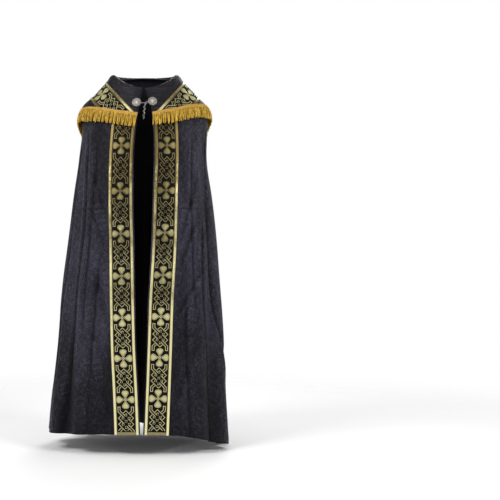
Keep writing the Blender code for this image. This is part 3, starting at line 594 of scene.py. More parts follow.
def band_sheet(shape, chart, ends, sides, lift, thick, crown=0.0, across=9, step=0.005, keep=None):
    """A strip of a chart as thin cloth, crowned across its width. keep says where each column's rows stop."""
    t = np.linspace(*ends, max(2, int((ends[1] - ends[0]) / step)))
    s = np.linspace(*sides, across)
    along = np.broadcast_to(t[:, None], (len(t), across))
    places = np.broadcast_to(s, along.shape)
    if keep is not None:
        grid, _ = chart.at(along, places)
        stays = keep(grid.reshape(-1, 3)).reshape(along.shape)
        stays[-2:, ~stays.any(axis=0)] = True
        first = stays.argmax(axis=0)
        last = len(t) - 1 - stays[::-1].argmax(axis=0)
        share = np.linspace(0, 1, len(t))[:, None]
        along = t[first][None, :] * (1 - share) + t[last][None, :] * share
    bulge = crown * np.sqrt(np.maximum(0.0, 1 - (2 * (s - sides[0]) / (sides[1] - sides[0]) - 1) ** 2))
    upper, _ = chart.at(along, places, lift + thick + bulge[None, :] + 0 * along)
    lower, _ = chart.at(along, places, lift + 0 * along)
    closed_sheet(shape, upper, lower, np.stack([places, along], axis=-1))


def ribbon(points, width, height, closed=False):
    """A flat raised line along points of a drawing, with mitred corners: its vertices and faces."""
    points = np.asarray(points, float)
    n = len(points)
    ahead = np.roll(points, -1, axis=0) - points
    behind = points - np.roll(points, 1, axis=0)
    if not closed:
        ahead[-1], behind[0] = behind[-1], ahead[0]
    ahead, behind = unit(ahead), unit(behind)
    side = unit(ahead + behind)
    stretch = 1 / np.maximum(np.sum(side * ahead, axis=1), 0.5)
    side = np.stack([-side[:, 1], side[:, 0]], axis=1) * stretch[:, None] * width / 2
    verts, faces = [], []
    for share, high in ((-1, -SUNK), (-0.62, height), (0.62, height), (1, -SUNK)):
        verts.append(np.column_stack([points + side * share, np.full(n, high)]))
    verts = np.stack(verts, axis=1).reshape(-1, 3)
    for i in range(n if closed else n - 1):
        a, b = 4 * i, 4 * ((i + 1) % n)
        for k in range(4):
            m = (k + 1) % 4
            faces.append((a + k, a + m, b + m, b + k))
    if not closed:
        faces.append((3, 2, 1, 0))
        faces.append(tuple(4 * (n - 1) + k for k in range(4)))
    return verts, faces


def circle(x, y, radius, parts):
    turns = np.linspace(0, 2 * math.pi, parts + 1)[:-1]
    return [(x + radius * math.cos(a), y + radius * math.sin(a)) for a in turns]


def joined(drawings):
    """Several drawings as one."""
    verts, faces, count = [], [], 0
    for points, found in drawings:
        verts.append(points)
        faces += [tuple(k + count for k in face) for face in found]
        count += len(points)
    return np.concatenate(verts), faces


def stepped(loop, step):
    """The same closed outline with more points along its longer sides."""
    loop = [np.asarray(p, float) for p in loop]
    found = []
    for a, b in zip(loop, loop[1:] + loop[:1]):
        parts = max(1, math.ceil(np.linalg.norm(b - a) / step))
        found += [a + (b - a) * k / parts for k in range(parts)]
    return found


# Half a petal of the cross from its neck to the middle of its round end: half width and reach
PETAL_RIM = [
    (0.0016, 0.0050), (0.0032, 0.0090), (0.0064, 0.0142), (0.0102, 0.0192),
    (0.0126, 0.0242), (0.0122, 0.0290), (0.0088, 0.0326), (0.0032, 0.0341),
]
PETAL_FIELD = [
    (0.0010, 0.0094), (0.0024, 0.0124), (0.0054, 0.0168), (0.0088, 0.0210),
    (0.0108, 0.0248), (0.0104, 0.0284), (0.0072, 0.0312), (0.0026, 0.0324),
]


def cross_drawing():
    """The woven cross: four petals, each a filled field inside a raised rim, round a small ring."""
    drawings = []
    for quarter in range(4):
        turn = quarter * math.pi / 2
        c, s = math.cos(turn), math.sin(turn)

        def turned(points):
            points = np.asarray(points, float)
            return np.column_stack([points[:, 0] * c - points[:, 1] * s, points[:, 0] * s + points[:, 1] * c])

        loop = PETAL_RIM + [(-w, r) for w, r in PETAL_RIM[::-1]]
        loop = turned(stepped(loop, 0.006))
        drawings.append(ribbon(loop, 0.0021, FIGURE_HEIGHT + 0.0002, closed=True))
        rows = [[(w * k, r) for k in (-1, -0.5, 0, 0.5, 1)] for w, r in PETAL_FIELD]
        flat = turned(np.array(rows).reshape(-1, 2))
        high = np.tile([0.6, 1, 1.15, 1, 0.6], len(rows)) * FIGURE_HEIGHT
        sheets = [np.column_stack([flat, z]) for z in (high, np.full(len(flat), -SUNK))]
        drawings.append((np.concatenate(sheets), shell_faces(len(rows), 5)))
    drawings.append(ribbon(circle(0.0, 0.0, 0.0033, 12), 0.0026, FIGURE_HEIGHT + 0.0003, closed=True))
    return joined(drawings)


def passes_under(place, way, crossings):
    """Whether a strap's edge that leaves a place one way lies under the other strap at a crossing."""
    if min(abs(way[0]), abs(way[1])) <= 1e-6:
        return False
    falling = way[0] * way[1] > 0  # runs from upper left to lower right
    for x, y in crossings:
        dx, dy = place[0] - x, place[1] - y
        falling_over = round(y / PLAIT) % 2 == 0
        if abs(dx) + abs(dy) > 2 * PLAIT or falling == falling_over:
            continue
        off = (dx - dy) if falling_over else (dx + dy)
        if abs(off) / math.sqrt(2) < STRAP_HALF + LINE / 2 + 0.0005:
            return True
    return False


def knot_drawing():
    """The interlaced knot between two crosses, about its own middle: two straps, over and under by turns."""
    end = REPEAT / 2 - STRAP_END
    wide, p = STRAP_SIDE, PLAIT
    turn_in = -(wide + p)
    strand = [(-wide, -end), (-wide, turn_in), (2 * p, p), (0.0, 3 * p)]
    strand += [(-x, y) for x, y in strand[2::-1]]
    places = ((1, -2), (-1, -2), (0, -1), (1, 0), (-1, 0), (0, 1), (1, 2), (-1, 2))
    crossings = [(x * p, y * p) for x, y in places]
    drawings = []
    for flip in (1, -1):
        middle = [Vector((x, y * flip)) for x, y in strand]
        sides = {}
        for way in (1, -1):
            line = []
            for k, place in enumerate(middle):
                before = (place - middle[k - 1]).normalized() if k else None
                after = (middle[k + 1] - place).normalized() if k + 1 < len(middle) else None
                one, two = before or after, after or before
                across = Vector((-(one + two).y, (one + two).x)).normalized()
                across *= STRAP_HALF / max(0.3, across.dot(Vector((-one.y, one.x))))
                line.append(place + across * way)
            sides[way] = line
        loop = sides[1] + sides[-1][::-1]
        fine = stepped([tuple(v) for v in loop], 0.0012)
        ahead = fine[1:] + fine[:1]
        hidden = [passes_under(place, after - place, crossings) for place, after in zip(fine, ahead)]
        first = hidden.index(True)
        run = []
        for k in range(first, first + len(fine) + 1):
            k %= len(fine)
            if not hidden[k]:
                run.append(fine[k])
            elif run:
                if len(run) > 1:
                    drawings.append(ribbon(thinned(run), LINE, FIGURE_HEIGHT))
                run = []
    return joined(drawings)


def thinned(points, longest=0.0065):
    """The same line without the points that it doesn't need."""
    kept = [points[0]]
    for k in range(1, len(points) - 1):
        one, two = points[k] - points[k - 1], points[k + 1] - points[k]
        bend = abs(one[0] * two[1] - one[1] * two[0]) / (np.linalg.norm(one) * np.linalg.norm(two))
        if bend > 0.02 or np.linalg.norm(points[k] - kept[-1]) > longest:
            kept.append(points[k])
    return kept + [points[-1]]


def lay(shape, chart, drawing, middle, lift, keep=None, flip=False, stretch=1.0):
    """Lays a drawing on a chart: its x runs across, and its y runs along from the middle."""
    verts, faces = drawing
    along = middle + verts[:, 1] * stretch
    across = verts[:, 0] * (-1 if flip else 1)
    points, _ = chart.at(along, across, lift + verts[:, 2])
    if keep is not None:
        stays = keep(points)
        faces = [f for f in faces if all(stays[k] for k in f)]
        if not faces:
            return
        used = sorted({k for f in faces for k in f})
        new = {k: i for i, k in enumerate(used)}
        faces = [tuple(new[k] for k in f) for f in faces]
        points, across, along = points[used], across[used], along[used]
    if flip:
        faces = [f[::-1] for f in faces]
    shape.add(points, faces, np.column_stack([across, along]))


class Value:
    """A number inside a material, with Python's operators for the Math nodes."""

    def __init__(self, finish, socket):
        self.finish, self.socket = finish, socket

    def math(self, operation, *others):
        return self.finish.node("ShaderNodeMath", {"operation": operation}, 0, self, *others)

    def __add__(self, other):
        return self.math("ADD", other)

    def __sub__(self, other):
        return self.math("SUBTRACT", other)

    def __mul__(self, other):
        return self.math("MULTIPLY", other)

    def __truediv__(self, other):
        return self.math("DIVIDE", other)

    def __pow__(self, other):
        return self.math("POWER", other)

    def __rsub__(self, other):
        return self.finish.node("ShaderNodeMath", {"operation": "SUBTRACT"}, 0, other, self)

    def __abs__(self):
        return self.math("ABSOLUTE")

    __radd__ = __add__
    __rmul__ = __mul__

    def below(self, edge, soft=0.001):
        """1 where the value is under an edge and 0 past it, with a soft change."""
        kind = {"interpolation_type": "SMOOTHSTEP"}
        return self.finish.node("ShaderNodeMapRange", kind, 0, self, edge - soft, edge + soft, 1.0, 0.0)

    def near(self, place, reach, soft=0.001):
        return abs(self - place).below(reach, soft)

    def wave(self, times):
        """Even ridges, from 0 to 1 and back."""
        return (self * times).math("SINE") * 0.5 + 0.5


class Finish:
    """A material that is put together node by node."""

    def __init__(self, name, **constants):
        self.material = bpy.data.materials.new(name)
        self.material.use_nodes = True
        self.tree = self.material.node_tree
        self.shader = self.tree.nodes["Principled BSDF"]
        for socket, value in constants.items():
            self.shader.inputs[socket.replace("_", " ")].default_value = value

    def node(self, kind, settings, out, *inputs):
        """Any node, by its type, its settings, the output that is wanted and its inputs' values or links."""
        made = self.tree.nodes.new(kind)
        for key, value in settings.items():
            setattr(made, key, value)
        for socket, value in zip(made.inputs, inputs):
            if value is not None:
                self.give(socket, value)
        return Value(self, made.outputs[out])

    def give(self, socket, value):
        if isinstance(value, Value):
            self.tree.links.new(value.socket, socket)
        elif isinstance(value, (tuple, list)) and len(socket.default_value) == 4:
            socket.default_value = (*value[:3], 1.0)
        else:
            socket.default_value = value

    def mixed(self, share, first, second):
        """A colour between two others."""
        made = self.tree.nodes.new("ShaderNodeMix")
        made.data_type = "RGBA"
        for k, value in ((0, share), (6, first), (7, second)):
            self.give(made.inputs[k], value)
        return Value(self, made.outputs[2])

    def cut(self):
        """The piece's own flat coordinates: across and along, in metres."""
        flat = self.node("ShaderNodeUVMap", {"uv_map": "cut"}, 0)
        u = self.node("ShaderNodeSeparateXYZ", {}, 0, flat)
        return u, Value(self, u.socket.node.outputs[1]), flat

    def place(self):
        return self.node("ShaderNodeTexCoord", {}, 3)

    def scaled(self, where, times):
        return self.node("ShaderNodeVectorMath", {"operation": "MULTIPLY"}, 0, where, times)

    def noise(self, where, scale, detail=3.0, rough=0.55):
        return self.node("ShaderNodeTexNoise", {}, 0, where, None, scale, detail, rough)

    def bump(self, height, strength, distance=0.001):
        made = self.tree.nodes.new("ShaderNodeBump")
        made.inputs["Strength"].default_value = strength
        made.inputs["Distance"].default_value = distance
        self.give(made.inputs["Height"], height)
        return Value(self, made.outputs[0])

    def wear(self, **links):
        for socket, value in links.items():
            self.give(self.shader.inputs[socket.replace("_", " ")], value)
        return self.material


def damask_figure(u, v):
    """The damask's figure: beaded roundels with a cross flower, small roundels, stars and leafy sprays."""

    def cell(du, dv, repeat=DAMASK_REPEAT):
        x = ((u / repeat + du).math("FRACT") - 0.5) * repeat
        y = ((v / repeat + dv).math("FRACT") - 0.5) * repeat
        return (x * x + y * y).math("SQRT"), y.math("ARCTAN2", x)

    r, turn = cell(0.0, 0.0)
    petals = abs((turn * 2).math("COSINE"))
    leaves = abs((turn * 2).math("SINE"))
    inside = r.below(0.056, 0.002)
    figure = r.near(0.0535, 0.0013) + r.near(0.0435, 0.0016)
    figure = figure + r.near(0.0485, 0.0021) * (turn * 26).math("COSINE").math("GREATER_THAN", 0.1)
    flower = (r - petals * petals * 0.026).below(0.0085)
    vein = (r - petals * petals * 0.018).below(0.0035)
    figure = figure + flower - vein + (r - leaves**6.0 * 0.022).below(0.0075) * r.near(0.024, 0.008)
    r, turn = cell(0.5, 0.5)
    petals = abs((turn * 2).math("COSINE"))
    inside = inside + r.below(0.023, 0.002)
    figure = figure + r.near(0.0205, 0.0012) + (r - petals * 0.009).below(0.0045) + r.near(0.0165, 0.0007)
    for du, dv in ((0.5, 0.0), (0.0, 0.5)):
        r, turn = cell(du, dv)
        figure = figure + (r - abs((turn * 2).math("COSINE")) ** 4.0 * 0.013).below(0.0042)
        inside = inside + r.below(0.017, 0.002)
    r, turn = cell(0.25, 0.25, DAMASK_REPEAT / 6)
    spray = (r - abs((turn * 1.5 + u * 71.0).math("COSINE")) * 0.0075).below(0.0026)
    figure = figure + spray * (1 - inside).math("MAXIMUM", 0.0) * 0.6
    return figure.math("MINIMUM", 1.0).math("MAXIMUM", 0.0)


def damask_cloth(name, ground, light, dark, slubs, clear):
    """Black damask: a satin figure on a duller twill ground of the same black, speckled by its slubs, with
    painted sheen bands, painted light and shade down its length, a painted shade line where it was pressed,
    and painted shade in its folds.
    """
    finish = Finish(name, Sheen_Weight=0.02, Sheen_Roughness=0.4, Specular_IOR_Level=0.16)
    finish.shader.inputs["Sheen Tint"].default_value = (0.70, 0.70, 1.0, 1.0)
    u, v, flat = finish.cut()
    figure = damask_figure(u, v)
    twill = ((u + v) * 5200.0).math("SINE")
    slub = finish.noise(flat, 900.0, 2.0)
    speck = finish.noise(flat, 170.0, 2.0, 0.75)
    # Painted sheen: broad lighter and darker bands that run down the cloth.
    painted_sheen_bands = finish.noise(finish.scaled(finish.place(), (9.0, 9.0, 2.2)), 1.0, 3.0)
    # Painted light and shade down the cloth: lightest about 1.4 from the cut's centre, painted darker towards
    # the hem and a little darker towards the neck.
    reach = (u * u + v * v).math("SQRT").math("MAXIMUM", 1.0)
    below = 0.17 - (reach - 1.40) * (reach - 1.40) * 0.62
    # Painted shade: a thin dark line along the pressed crease across the cloak's sides.
    pressed = reach.near(1.360, 0.0008, 0.0014) * abs(u).math("GREATER_THAN", 0.64)
    share = figure * clear + (speck - 0.46) * slubs + (painted_sheen_bands - 0.5) * 2.1 + below - pressed * 0.9
    # Painted shade: where the attribute is high, the tone goes towards the dark colour.
    hollow = finish.node("ShaderNodeAttribute", {"attribute_name": "hollow"}, 2)
    tone = finish.mixed(hollow * 0.9, finish.mixed(share, ground, light), dark)
    rough = 0.60 - figure * 0.16 + (slub - 0.5) * 0.14 + (speck - 0.5) * 0.25
    height = figure * 0.9 + twill * 0.12 + slub * 0.25 + speck * slubs * 0.3
    return finish.wear(Base_Color=tone, Roughness=rough, Normal=finish.bump(height, 0.6, 0.0014))


def lining_cloth():
    """Thin black twill lining."""
    finish = Finish("black_lining", Specular_IOR_Level=0.12)
    u, v, _ = finish.cut()
    twill = ((u - v) * 4200.0).math("SINE")
    soft = finish.noise(finish.place(), 14.0, 3.0)
    tone = finish.mixed(soft, (0.0100, 0.0095, 0.0130), (0.0230, 0.0215, 0.0270))
    return finish.wear(
        Base_Color=tone, Roughness=0.48 + twill * 0.04 + soft * 0.1, Normal=finish.bump(twill, 0.12, 0.0004)
    )


def galloon_cloth(name, stitched):
    """Black satin ground with its warp ribs, and where it is sewn down, a stitched line inside each braid."""
    finish = Finish(name, Specular_IOR_Level=0.07)
    u, v, flat = finish.cut()
    ribs = (v * 4600.0).math("SINE") * 0.6 + (u * 3900.0).math("SINE") * 0.4
    speck = finish.noise(flat, 300.0, 3.0, 0.65)
    tone = finish.mixed((speck - 0.3) * 1.5, (0.0025, 0.0022, 0.0022), (0.0080, 0.0070, 0.0070))
    height = ribs
    if stitched:
        dashes = (v * 1500.0).math("SINE").math("GREATER_THAN", -0.2)
        stitch = abs(u).near(HALF - BRAID - 0.0016, 0.0005, 0.0003) * dashes
        tone = finish.mixed(stitch * 0.7, tone, (0.20, 0.15, 0.06))
        height = ribs + stitch * 2.0
    rough = 0.6 + speck * 0.15
    return finish.wear(Base_Color=tone, Roughness=rough, Normal=finish.bump(height, 0.25, 0.0004))


def woven_gold(name, bright, deep, brown, ribs, metal=0.75, rough=0.34, paler=0.0):
    """Gold thread side by side: bright crowns, brown between them, uneven tone with patches of painted sheen,
    and painted light that makes it paler down the band.
    """
    finish = Finish(name, Sheen_Weight=0.05)
    u, v, flat = finish.cut()
    thread, cross = v.wave(ribs), u.wave(ribs * 0.62)
    patch = finish.noise(flat, 7.0, 2.0)
    cloud = finish.noise(flat, 90.0, 3.0, 0.65)
    fine = finish.noise(flat, 700.0, 2.0)
    # Painted light: with paler, the gold is painted darker at the band's top and paler down it; without, a
    # fixed share. Large patches add painted sheen.
    painted_light_share = (v - 0.46) * paler if paler else 0.55
    tone = finish.mixed((patch - 0.45) * 1.8 + (cloud - 0.5) * 1.3 + painted_light_share, deep, bright)
    tone = finish.mixed((1 - thread) * 0.3 + (fine - 0.45) * 0.5, tone, brown)
    return finish.wear(
        Base_Color=tone,
        Roughness=rough + fine * 0.2 - thread * 0.06,
        Metallic=metal + cloud * 0.2,
        Normal=finish.bump(thread * 0.7 + cross * 0.3 + fine * 0.4, 0.4, 0.0005),
    )


def braid_gold(name, paler=0.0):
    """The edging braid: ribbed gold with painted highlights in long pale streaks, painted paler down the
    band, with a dark thread at each side.
    """
    finish = Finish(name, Sheen_Weight=0.04)
    u, v, flat = finish.cut()
    across = abs(u)
    edge = across.below(HALF - BRAID + 0.0014, 0.0005) + (1 - across.below(HALF - 0.0012, 0.0005))
    ribs, weft = u.wave(5600.0), v.wave(2600.0)
    # Painted highlight: long pale streaks along the braid.
    long = finish.noise(finish.scaled(flat, (30.0, 8.0, 1.0)), 1.0, 4.0)
    broken = finish.noise(flat, 130.0, 3.0, 0.65)
    fine = finish.noise(flat, 650.0, 2.0)
    # Painted light: paler down the band with paler, a fixed share without.
    painted_light_share = (v - 0.42) * paler if paler else 0.18
    share = (long - 0.46) * 2.6 + (broken - 0.5) * 1.1 + painted_light_share
    tone = finish.mixed(share, (0.115, 0.083, 0.018), (0.90, 0.83, 0.45))
    tone = finish.mixed((fine - 0.4) * 0.55, tone, (0.17, 0.11, 0.025))
    tone = finish.mixed(edge * 0.8, tone, (0.11, 0.075, 0.020))
    return finish.wear(
        Base_Color=tone,
        Roughness=0.27 + fine * 0.16 + edge * 0.15,
        Metallic=0.6 - edge * 0.2,
        Normal=finish.bump(ribs * 0.5 + weft * 0.35 + fine * 0.3 - edge, 0.3, 0.0005),
    )


def fringe_thread(name, bright, deep, shadow, metal=0.2):
    """Twisted rayon and metal fringe thread: yellow gold with painted shadow in the twist, in broad patches
    and between the locks, and pale sparks as painted glints.
    """
    finish = Finish(name, Sheen_Weight=0.04, Sheen_Roughness=0.35)
    u, v, _ = finish.cut()
    spark = finish.noise(finish.place(), 260.0, 2.0, 0.7)
    lock = finish.noise(finish.scaled(finish.place(), (150.0, 150.0, 16.0)), 1.0, 3.0, 0.65)
    broad = finish.noise(finish.place(), 22.0, 3.0)
    twist = (v * 2.0 + u * 3.0).wave(900.0)
    # Painted glints: pale sparks, and the locks painted lighter in their middles.
    tone = finish.mixed((spark - 0.38) * 2.0 + (lock - 0.46) * 3.0, deep, bright)
    # Painted shadow in the twist's grooves.
    tone = finish.mixed((1 - twist) * 0.4, tone, shadow)
    # Painted shadow in broad patches and in the gaps between the locks.
    tone = finish.mixed((broad - 0.48) * 1.4 + (0.43 - lock) * 4.0, tone, shadow)
    return finish.wear(
        Base_Color=tone,
        Roughness=0.34 + spark * 0.2,
        Metallic=metal + spark * 0.3,
        Normal=finish.bump(twist + spark * 0.5, 0.5, 0.0005),
    )


def heading_gold():
    """The fringe's heading: close plain ribs of orange gold."""
    finish = Finish("heading_gold", Sheen_Weight=0.12, Sheen_Roughness=0.4)
    u, v, flat = finish.cut()
    ribs, rows = u.wave(2400.0), v.wave(3000.0)
    cloud = finish.noise(flat, 40.0, 3.0)
    fine = finish.noise(flat, 800.0, 2.0)
    tone = finish.mixed((cloud - 0.3) * 1.6, (0.36, 0.185, 0.018), (0.56, 0.33, 0.045))
    tone = finish.mixed((1 - ribs) * 0.3 + (fine - 0.5) * 0.5, tone, (0.20, 0.085, 0.008))
    return finish.wear(
        Base_Color=tone,
        Roughness=0.45 + fine * 0.15,
        Metallic=0.12 + ribs * 0.15,
        Normal=finish.bump(ribs + rows * 0.4 + fine * 0.4, 0.45, 0.0005),
    )


def silver_metal(name, bright, dark, rough):
    """Cast and oxidised pewter: worn bright on the high parts, dark in the grain and the hollows."""
    finish = Finish(name)
    grain = finish.noise(finish.place(), 900.0, 4.0)
    cloud = finish.noise(finish.place(), 240.0, 3.0, 0.7)
    tone = finish.mixed((cloud - 0.40) * 3.2, bright, dark)
    tone = finish.mixed((grain - 0.45) * 0.9, tone, dark)
    return finish.wear(
        Base_Color=tone,
        Roughness=rough + grain * 0.2,
        Metallic=0.95 - cloud * 0.15,
        Normal=finish.bump(grain, 0.3, 0.0004),
    )


def active():
    return bpy.context.view_layer.objects.active


def resized(value, centre=(0, 0, 0)):
    """Stretches the active object's whole mesh about a point."""
    bpy.ops.object.mode_set(mode="EDIT")
    bpy.ops.mesh.select_all(action="SELECT")
    bpy.ops.transform.resize(value=value, center_override=centre)
    bpy.ops.object.mode_set(mode="OBJECT")


def joined_piece(name, parts, finishes, angle=40.0):
    """Modelled parts as one piece at the origin. The first has the last finish, the rest have the first."""
    for k, part in enumerate(parts):
        part.data.materials.clear()
        part.data.materials.append(finishes[-1] if k == 0 else finishes[0])
    bpy.ops.object.select_all(action="DESELECT")
    for part in parts:
        part.select_set(True)
    bpy.context.view_layer.objects.active = parts[0]
    bpy.ops.object.transform_apply(location=True, rotation=True, scale=True)
    if len(parts) > 1:
        bpy.ops.object.join()
    piece = active()
    piece.name = piece.data.name = name
    soften(piece, angle)
    return piece


def copied(part, matrix):
    """A copy of a modelled part with its own mesh, moved by a matrix."""
    made = part.copy()
    made.data = part.data.copy()
    bpy.context.scene.collection.objects.link(made)
    made.data.transform(matrix)
    return made


def belongs(piece, slot, *nodes):
    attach(piece, "root")
    if nodes:
        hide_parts(*nodes)
    return piece


def lined(piece):
    """The cloth with its thickness, inwards, and its lining on the inner side."""
    wall = piece.modifiers.new("wall", "SOLIDIFY")
    wall.thickness = CLOTH
    wall.offset = -1.0
    wall.material_offset = 1
    bpy.context.view_layer.objects.active = piece
    bpy.ops.object.modifier_apply(modifier=wall.name)
    return piece


def fan(reach, swing):
    """A grid's places on the flat cut, by distance from its centre and angle."""
    return np.stack([reach * np.sin(swing), -reach * np.cos(swing)], axis=-1)


def build_cloak(cloak, damask, lining):
    """The cloak: one skin of damask that falls in folds, thickened inwards by its lining."""
    rows, columns, _ = cloak.points.shape
    steps = np.linalg.norm(np.diff(cloak.points, axis=0), axis=2).mean(axis=1)
    flat = fan(CLOAK_NECK + summed(steps)[:, None], CLOAK_SWING * cloak.columns[None, :])
    shape = Shape()
    shape.add(cloak.points, grid_faces(rows, columns), flat)
    piece = shape.piece("cloak_cloth", [damask, lining], 60.0)
    # Painted shade of the folds and under the cape, kept on the mesh for the damask's colour.
    shade = piece.data.attributes.new("hollow", "FLOAT", "POINT")
    shade.data.foreach_set("value", cloak.hollow.astype(np.float32).ravel())
    return belongs(lined(piece), "black_brocade", "cloak")


def band_pieces(name, shapes, finishes):
    """A band's ground, figures and braid as pieces."""
    kinds = (("ground", 60.0), ("figures", 35.0), ("braid", 50.0))
    return [
        shape.piece(name.format(kind), [finish], angle)
        for shape, finish, (kind, angle) in zip(shapes, finishes, kinds)
    ]


def build_front_bands(cloak, finishes):
    """The two front orphreys: black ground, gold crosses and knots, and the braid that frames each."""
    pieces = []
    cross, knot = cross_drawing(), knot_drawing()
    for name, side, heights in (("left", -1, FRONT_CROSSES[0]), ("right", 1, FRONT_CROSSES[1])):
        chart = front_chart(cloak, side)
        length = chart.rows[-1]
        whole = (0.0, length)
        lowest = chart.at([length - BRAID - 0.001], [0.0])[0][0, 2]

        def above_end(points, lowest=lowest):
            return points[:, 2] > lowest

        ground, figures, edging = Shape(), Shape(), Shape()
        band_sheet(ground, chart, whole, (-HALF, HALF), GAP, TRIM_CLOTH, step=FRONT_STEP)
        middles = list(np.interp(-np.array(heights), -chart.points[:, BAND_MIDDLE, 2], chart.rows))
        middles = [middles[0] - REPEAT, *middles, middles[-1] + REPEAT]
        for middle in middles[1:-1]:
            lay(figures, chart, cross, middle, FIGURE_LIFT, above_end)
        for before, after in zip(middles, middles[1:]):
            stretch = (after - before) / REPEAT
            lay(figures, chart, knot, (before + after) / 2, FIGURE_LIFT, above_end, stretch=stretch)
        for sides in BRAID_PLACES:
            band_sheet(edging, chart, whole, sides, BRAID_LIFT, BRAID_THICK, BRAID_CROWN, 7, FRONT_STEP)
        foot, inner = (length - BRAID, length), (BRAID - HALF, HALF - BRAID)
        band_sheet(edging, chart, foot, inner, BRAID_LIFT, 0.0009, 0.0, 7, FRONT_STEP)
        base, gold, braid = band_pieces(f"orphrey_{{}}_{name}", (ground, figures, edging), finishes)
        belongs(base, "black_galloon", f"front_orphrey_{name}")
        belongs(gold, "gold_braid")
        belongs(braid, "gold_braid", f"front_braid_{name}")
        pieces += [base, gold, braid]
    return pieces


def build_cape(cape, damask, lining):
    """The shoulder cape's cloth, from the neck seam to its pointed lower edge."""
    half = np.linspace(0, 1 + BAND_END, 150)
    around = np.concatenate([-half[:0:-1], half])
    edge = down_to(cape, around, by_side(CAPE_EDGE, around))
    down = np.linspace(0, 1, 90)[:, None] * edge[None, :]
    points, _ = cape.at(down, np.broadcast_to(around, down.shape))
    shape = Shape()
    shape.add(points, grid_faces(*down.shape), fan(CAPE_NECK + down, CAPE_SWING * around[None, :]))
    piece = lined(shape.piece("cape_cloth", [damask, lining], 60.0))
    return belongs(piece, "black_brocade", "shoulder_cape")


def above_heading(cape):
    """Says which points on the cape stay above the middle of the fringe's heading."""
    around = np.linspace(-1 - BAND_END, 1 + BAND_END, 600)
    down = down_to(cape, around, by_side(CAPE_EDGE, around))
    edge, _ = cape.at(down, around)
    back = edge[:, 1] > BACK_FROM_Y

    def keep(points):
        behind = points[:, 1] > BACK_FROM_Y
        stays = np.ones(len(points), bool)
        for mask, chosen in ((behind, back), (~behind, ~back)):
            line = edge[chosen]
            order = np.argsort(line[:, 0])
            limit = np.interp(points[mask][:, 0], line[order, 0], line[order, 2])
            stays[mask] = points[mask][:, 2] > limit + HEADING_COVERS
        return stays

    return keep


def y_band(name, chart, ends, columns, figures, keep, finishes):
    """One band of the Y: its ground and braids, trimmed where the fringe's heading covers them."""
    ground, edging = Shape(), Shape()
    band_sheet(ground, chart, ends, (-HALF, HALF), GAP, TRIM_CLOTH, across=columns, keep=keep)
    for sides in BRAID_PLACES:
        band_sheet(edging, chart, ends, sides, BRAID_LIFT, BRAID_THICK, BRAID_CROWN, across=7, keep=keep)
    return band_pieces(name, (ground, figures, edging), finishes)


def build_back_bands(cape, finishes):
    """The Y of bands on the cape: two arms over the shoulders and the stem down the back."""
    keep = above_heading(cape)
    cross, knot = cross_drawing(), knot_drawing()
    made = []
    for name, side in (("left", -1), ("right", 1)):
        chart = arm_chart(cape, side)

        def on_arm(points, side=side):
            ends = side * points[:, 0] + points[:, 2] > ARM_START
            return keep(points) & (ends | (points[:, 1] < 0))

        rows, middle = chart.rows, chart.points[:, BAND_MIDDLE]
        behind, before = middle[:, 1] > 0.04, middle[:, 1] < 0.04
        back = float(np.interp(-ARM_CROSS_BACK_X, -side * middle[behind, 0], rows[behind]))
        front = float(np.interp(ARM_CROSS_FRONT_X, side * middle[before, 0], rows[before]))
        figures, flip = Shape(), side < 0
        for place in (front - REPEAT, front, back, back + REPEAT):
            lay(figures, chart, cross, place, FIGURE_LIFT, on_arm, flip)
        for place in (front - REPEAT / 2, back + REPEAT / 2):
            lay(figures, chart, knot, place, FIGURE_LIFT, on_arm, flip)
        lay(figures, chart, knot, (front + back) / 2, FIGURE_LIFT, on_arm, flip, (back - front) / REPEAT)
        ends = rows[0], rows[-1]
        pieces = y_band(f"arm_{{}}_{name}", chart, ends, BAND_COLUMNS, figures, on_arm, finishes)
        if side > 0:
            for piece in pieces:
                piece.data.flip_normals()
        belongs(pieces[0], "black_galloon", f"cape_arm_{name}")
        belongs(pieces[1], "gold_braid")
        belongs(pieces[2], "gold_braid", f"cape_arm_braid_upper_{name}", f"cape_arm_braid_lower_{name}")
        made.append((pieces, rows[-1] - rows[0]))

    chart = back_chart(cape)

    def on_stem(points):
        return keep(points) & (points[:, 2] < STEM_TOP)

    figures = Shape()
    lay(figures, chart, cross, STEM_CROSS, FIGURE_LIFT, on_stem)
    for k in (-0.5, 0.5):
        lay(figures, chart, knot, STEM_CROSS + k * REPEAT, FIGURE_LIFT, on_stem)
    pieces = y_band("stem_{}", chart, (-STEM_TOP, STEM_END), 25, figures, keep, finishes)
    belongs(pieces[0], "black_galloon", "cape_stem")
    belongs(pieces[1], "gold_braid")
    belongs(pieces[2], "gold_braid", "cape_stem_braid_left", "cape_stem_braid_right")
    made.append((pieces, STEM_LENGTH))
    return made, chart


def medallion_half_width(z):
    """Half the pointed oval's width at a height."""
    chord = np.sqrt(np.maximum(MEDALLION_RADIUS**2 - (z - MEDALLION_Z) ** 2, 0))
    return chord - (MEDALLION_RADIUS - MEDALLION_HALF_WIDTH)


